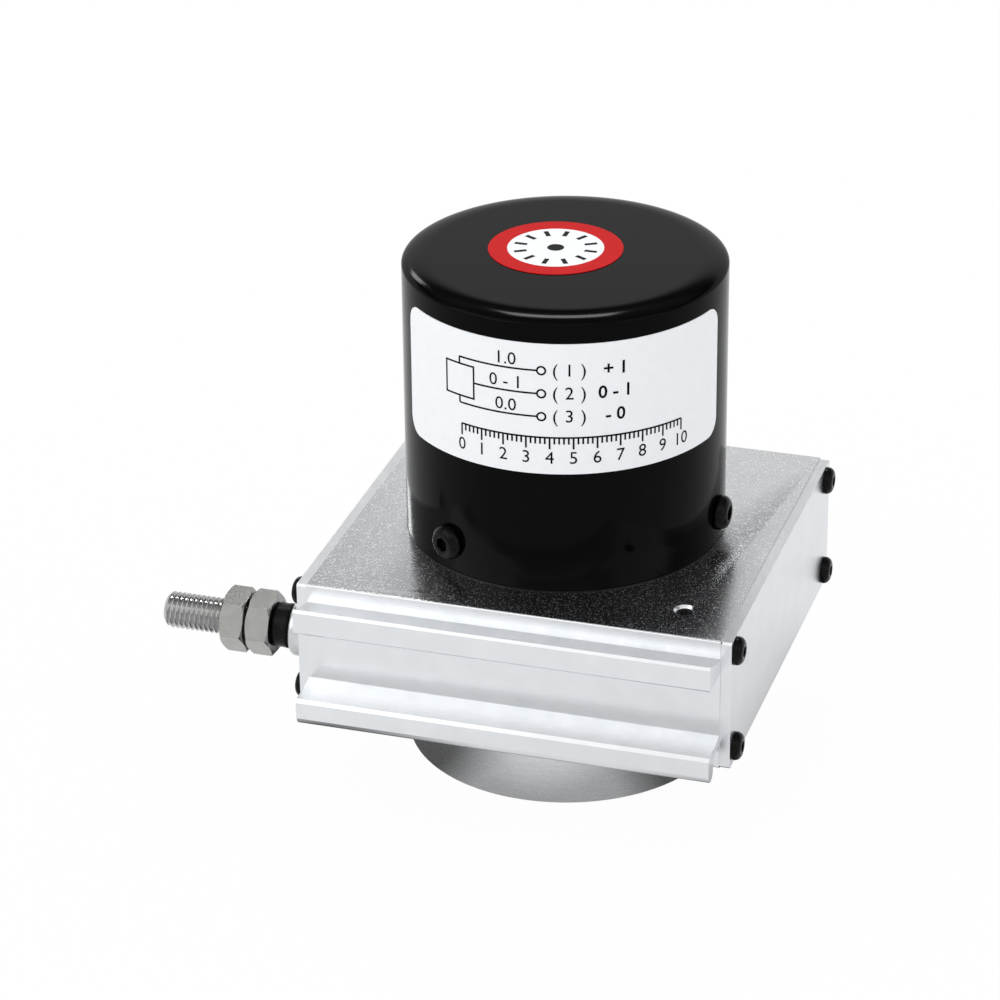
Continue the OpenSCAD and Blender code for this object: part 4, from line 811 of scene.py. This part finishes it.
labelLook = {"span": 134.0, "middle": 15.0, "corner": 3.5, "gap": 0.02, "thick": 0.15, "columns": 96,
             "rows": 40, "cornerStep": 7.5}     # span, middle and cornerStep in degrees
printLook = {"lift": 0.02, "depth": 0.02, "line": 0.34, "digit": 3.5, "bold": 0.06,
             "longest": 1.2, "round": 20}     # longest flat stretch of a line, and sides of a ring
scaleLook = {"ticks": 51, "run": 44.0, "middle": 2.2, "short": 1.3, "long": 2.3, "every": 5, "base": 7.4,
             "digits": 11, "digitsAt": 3.2}

low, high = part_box("side_label")
labelIn = coverR + labelLook["gap"] * mm
labelOut = labelIn + labelLook["thick"] * mm
labelBottom, labelTop = low.z, high.z
labelHalf = math.radians(labelLook["span"] / 2)
labelMiddle = math.radians(labelLook["middle"])


def aroundCover(radius, angle, z):
    return (radius * math.sin(angle), -radius * math.cos(angle), z)


def labelMesh(name, look):
    corner, columns, rows = look["corner"] * mm, look["columns"], look["rows"]
    total = labelTop - labelBottom
    heights = [corner * (1 - math.cos(math.radians(look["cornerStep"] * i))) for i in range(13)]
    middle = [corner + (total - 2 * corner) * i / rows for i in range(1, rows)]
    heights = heights + middle + [total - h for h in reversed(heights)]
    front, back = [], []
    for h in heights:
        near = min(h, total - h, corner)
        trim = corner - math.sqrt(max(0.0, corner ** 2 - (corner - near) ** 2))
        half = labelHalf - trim / labelOut
        for i in range(columns + 1):
            a = labelMiddle + half * (2 * i / columns - 1)
            front.append(aroundCover(labelOut, a, labelBottom + h))
            back.append(aroundCover(labelIn, a, labelBottom + h))
    width, count, shift = columns + 1, len(heights), len(front)
    faces = []
    for j in range(count - 1):
        for a in range(j * width, j * width + columns):
            loop = (a, a + 1, a + 1 + width, a + width)
            faces += [loop, tuple(i + shift for i in reversed(loop))]
    outline = list(range(width)) + [j * width + columns for j in range(1, count)]
    outline += [(count - 1) * width + i for i in range(columns - 1, -1, -1)]
    outline += [j * width for j in range(count - 2, 0, -1)]
    for a, b in zip(outline, outline[1:] + outline[:1]):
        faces.append((b, a, a + shift, b + shift))
    return meshFrom(name, front + back, faces)


label = newPiece("sideLabel", labelMesh("sideLabel", labelLook), "label_white", 40)
seat(label, "root", "label_white", "side_label")


def wrapTree():
    # wraps flat art, drawn in X and Y with its depth in Z, onto the round wall
    tree, given = newTree("printOnWall", [("Radius", "Float", 31 * mm), ("Middle", "Float", 0.0),
                                          ("Bottom", "Float", 0.0)])
    place = pointXYZ(tree)
    angle = calc(tree, "ADD", calc(tree, "DIVIDE", place["X"], given["Radius"]), given["Middle"])
    radius = calc(tree, "ADD", given["Radius"], place["Z"])
    front = calc(tree, "MULTIPLY", radius, calc(tree, "COSINE", angle))
    on = joined(tree, calc(tree, "MULTIPLY", radius, calc(tree, "SINE", angle)),
                calc(tree, "MULTIPLY", front, -1.0), calc(tree, "ADD", place["Y"], given["Bottom"]))
    wrapped = put(tree, "GeometryNodeSetPosition", {"Geometry": given["Geometry"], "Position": on})
    return closeTree(tree, wrapped.outputs[0], given)


class Art:
    # flat black print in millimetres, built up stroke by stroke
    def __init__(self):
        self.vertices, self.faces = [], []

    def slab(self, corners):
        # corners run anticlockwise
        first, count = len(self.vertices), len(corners)
        for height in (0, printLook["depth"] * mm):
            self.vertices += [(x * mm, y * mm, height) for x, y in corners]
        self.faces.append(tuple(first + i for i in reversed(range(count))))
        self.faces.append(tuple(first + count + i for i in range(count)))
        for i in range(count):
            j = (i + 1) % count
            self.faces.append((first + i, first + j, first + count + j, first + count + i))

    def line(self, x0, y0, x1, y1):
        half, length = printLook["line"] / 2, math.hypot(x1 - x0, y1 - y0)
        dx, dy = (x1 - x0) / length, (y1 - y0) / length
        pieces = max(1, int(length / printLook["longest"]))
        for i in range(pieces):
            a, b = length * i / pieces, length * (i + 1) / pieces
            ax, ay, bx, by = x0 + dx * a, y0 + dy * a, x0 + dx * b, y0 + dy * b
            self.slab([(ax + dy * half, ay - dx * half), (bx + dy * half, by - dx * half),
                       (bx - dy * half, by + dx * half), (ax - dy * half, ay + dx * half)])

    def circle(self, x, y, radius):
        half, steps = printLook["line"] / 2, printLook["round"]
        for i in range(steps):
            a, b = whole * i / steps, whole * (i + 1) / steps
            self.slab([(x + r * math.cos(t), y + r * math.sin(t)) for r, t in (
                (radius - half, a), (radius + half, a), (radius + half, b), (radius - half, b))])

    def text(self, words, x, y, bold=0.0):
        curve = bpy.data.curves.new("digits", "FONT")
        lift = printLook["depth"] / 2 * mm
        curve.body, curve.size, curve.extrude = words, printLook["digit"] * mm, lift
        curve.offset = bold * mm
        curve.align_x, curve.align_y, curve.resolution_u = "CENTER", "CENTER", 3
        obj = addToScene("digits", curve)
        flat = evaluated(obj)
        first = len(self.vertices)
        self.vertices += [(v.co.x + x * mm, v.co.y + y * mm, v.co.z + lift) for v in flat.vertices]
        self.faces += [tuple(first + i for i in face.vertices) for face in flat.polygons]
        bpy.data.objects.remove(obj)
        bpy.data.curves.remove(curve)


# places from the middle of the label and up from its lower edge, in millimetres
schematicLook = {"box": (-20.2, 16.2), "half": 3.2, "lead": 4.6, "ringAt": -3.7, "ring": 0.78,
                 "shareAt": (1.5, 1.75), "brackets": (-1.2, 4.1), "levelAt": 10.0,
                 "rows": (("1.0", "1", "+ 1"), ("0 - 1", "2", "0 - 1"), ("0.0", "3", "- 0"))}

art = Art()
# three leads of a divider: body on the left, numbered ends on the right
boxX, boxY = schematicLook["box"]
half, ringAt, lead, ring = (schematicLook[key] for key in ("half", "ringAt", "lead", "ring"))
line = printLook["line"]
for sign in (-1, 1):
    side = boxY + sign * half
    art.line(boxX + sign * half, boxY - half, boxX + sign * half, boxY + half)
    art.line(boxX - half - line / 2, side, boxX + half + line / 2, side)
    art.line(boxX, side, boxX, boxY + sign * lead)
for step, (share, number, level) in zip((1, 0, -1), schematicLook["rows"]):
    y = boxY + step * lead
    art.line(boxX + (0 if step else half), y, ringAt - ring, y)
    art.circle(ringAt, y, ring)
    art.text(share, (boxX + ringAt) / 2 + schematicLook["shareAt"][0], y + schematicLook["shareAt"][1])
    art.text(number, sum(schematicLook["brackets"]) / 2, y)
    for bracket, x in zip("()", schematicLook["brackets"]):
        art.text(bracket, x, y)
    art.text(level, schematicLook["levelAt"], y, printLook["bold"])
# plain scale along the lower edge
middle, run, base = scaleLook["middle"], scaleLook["run"], scaleLook["base"]
for i in range(scaleLook["digits"]):
    art.text(str(i), middle + (i / (scaleLook["digits"] - 1) - 0.5) * run, scaleLook["digitsAt"])
art.line(middle - run / 2, base, middle + run / 2, base)
schematic = newPiece("labelPrint")
schematic.data.from_pydata(art.vertices, [], art.faces)
wrapped = wrapTree()
wrapValues = {"Radius": labelOut + printLook["lift"] * mm, "Middle": labelMiddle, "Bottom": labelBottom}
runTree(schematic, wrapped, wrapValues, "cover_paint")
seat(schematic, "root", "cover_paint")


def tickTree():
    tree, given = newTree("scaleTicks", [
        ("Count", "Int", 36), ("Step", "Float", 1 * mm), ("Short", "Float", 1.4 * mm),
        ("Long", "Float", 2.6 * mm), ("Every", "Int", 7), ("Width", "Float", 0.3 * mm),
        ("Depth", "Float", 0.02 * mm), ("Base", "Float", 9 * mm), ("Middle", "Float", 0.0)])
    run = calc(tree, "MULTIPLY", calc(tree, "SUBTRACT", given["Count"], 1.0), given["Step"])
    first = calc(tree, "SUBTRACT", given["Middle"], calc(tree, "MULTIPLY", run, 0.5))
    row = put(tree, "GeometryNodeMeshLine", {
        "Count": given["Count"], "Start Location": joined(tree, first, given["Base"]),
        "Offset": joined(tree, given["Step"])})
    bar = put(tree, "GeometryNodeMeshCube", {"Size": joined(tree, given["Width"], 1.0, given["Depth"])})
    hung = put(tree, "GeometryNodeTransform", {"Geometry": bar.outputs["Mesh"], "Translation": (0, -0.5, 0)})
    rest = calc(tree, "MODULO", put(tree, "GeometryNodeInputIndex").outputs[0], given["Every"])
    extra = calc(tree, "SUBTRACT", given["Long"], given["Short"])
    tall = calc(tree, "MULTIPLY_ADD", calc(tree, "LESS_THAN", rest, 0.5), extra, given["Short"])
    ticks = put(tree, "GeometryNodeInstanceOnPoints", {
        "Points": row.outputs["Mesh"], "Instance": hung.outputs[0], "Scale": joined(tree, 1.0, tall, 1.0)})
    return closeTree(tree, ticks.outputs[0], given)


ticks = newPiece("labelScale")
runTree(ticks, tickTree(), {
    "Count": scaleLook["ticks"], "Step": run / (scaleLook["ticks"] - 1) * mm, "Every": scaleLook["every"],
    "Short": scaleLook["short"] * mm, "Long": scaleLook["long"] * mm, "Width": line * mm,
    "Depth": printLook["depth"] * mm, "Base": base * mm, "Middle": middle * mm}, "cover_paint")
for vertex in ticks.data.vertices:
    vertex.co.z += printLook["depth"] / 2 * mm
runTree(ticks, wrapped, wrapValues, "cover_paint")
seat(ticks, "root", "cover_paint")
print("side label")


# round sticker on top

stickerLook = {"face": 9.1, "ticks": 12, "tickFrom": 5.6, "tickTo": 8.0, "tickWide": 0.9, "hub": 1.6,
               "film": 0.12, "ink": 0.02, "edge": 0.03, "steps": 128}

low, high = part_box("top_label")
discX, discY, discR = (low.x + high.x) / 2, (low.y + high.y) / 2, (high.x - low.x) / 2
film = low.z + stickerLook["film"] * mm     # top of the sticker's red film
ink = stickerLook["ink"] * mm


def disc(name, radius, bottom, top, finish, nodeName=None):
    edge = stickerLook["edge"] * mm
    profile = [(0, bottom), (radius, bottom), (radius, top - edge), (radius - edge, top), (0, top)]
    turnedPiece(name, profile, (discX, discY, 0), finish, "root", nodeName, stickerLook["steps"], 40)


disc("roundSticker", discR, low.z, film, "label_red", "top_label")
disc("stickerFace", stickerLook["face"] * mm, film, film + ink, "label_white")


def barsTree():
    # equal bars round a circle, each with its X side outwards, the circle turned and moved to its place
    tree, given = newTree("barsRoundCircle", [
        ("Count", "Int", 12), ("Radius", "Float", 7 * mm), ("Size", "Vector", (2 * mm, 1 * mm, 1 * mm)),
        ("Points", "Int", 2), ("Turn", "Vector", (0, 0, 0)), ("Centre", "Vector", (0, 0, 0))])
    ring = put(tree, "GeometryNodeMeshCircle", {"Vertices": given["Count"], "Radius": given["Radius"]})
    bar = put(tree, "GeometryNodeMeshCube", {
        "Size": given["Size"], "Vertices X": given["Points"], "Vertices Y": given["Points"], "Vertices Z": 2})
    away = put(tree, "GeometryNodeInputPosition")
    aimed = put(tree, "FunctionNodeAlignRotationToVector", {"Vector": away.outputs[0]},
                axis="X", pivot_axis="Z")
    bars = put(tree, "GeometryNodeInstanceOnPoints", {
        "Points": ring.outputs["Mesh"], "Instance": bar.outputs["Mesh"], "Rotation": aimed.outputs[0]})
    moved = put(tree, "GeometryNodeTransform", {"Geometry": bars.outputs[0], "Rotation": given["Turn"],
                                                "Translation": given["Centre"]})
    return closeTree(tree, moved.outputs[0], given)


bars = barsTree()
marks = newPiece("stickerMarks")
tickFrom, tickTo, tickWide = inMetres(stickerLook, "tickFrom", "tickTo", "tickWide")
runTree(marks, bars, {
    "Count": stickerLook["ticks"], "Radius": (tickFrom + tickTo) / 2, "Points": 2,
    "Size": (tickTo - tickFrom, tickWide, ink), "Centre": (discX, discY, film + 1.5 * ink)}, "cover_paint")
seat(marks, "root", "cover_paint")
disc("stickerHub", stickerLook["hub"] * mm, film + ink, film + 2 * ink, "cover_paint")
print("round sticker")


# cable gland

glandLook = {"ribs": 12, "ribWide": 1.0, "ribHigh": 0.35, "ribLong": 4.2, "ribFrom": 0.2,
             "edges": {"body": 0.15, "washer": 0.1, "nut": 0.2}}

edgedPiece("cable_gland", "glandBody", "gland_nylon", glandLook["edges"]["body"])
edgedPiece("gland_seal", "glandWasher", "black_rubber", glandLook["edges"]["washer"])
edgedPiece("gland_dome_nut", "glandNut", "gland_nylon", glandLook["edges"]["nut"])

low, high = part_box("gland_dome_nut")
ribs = newPiece("glandRibs")
ribWide, ribHigh, ribLong, ribFrom = inMetres(glandLook, "ribWide", "ribHigh", "ribLong", "ribFrom")
runTree(ribs, bars, {
    "Count": glandLook["ribs"], "Radius": (high.z - low.z) / 2, "Size": (2 * ribHigh, ribWide, ribLong),
    "Points": 3, "Turn": (-math.pi / 2, 0, 0),
    "Centre": (0, low.y + ribLong / 2 + ribFrom, (low.z + high.z) / 2)}, "gland_nylon")
seat(ribs, "root", "gland_nylon")
print("cable gland")


# last update of the scene

bpy.context.view_layer.update()
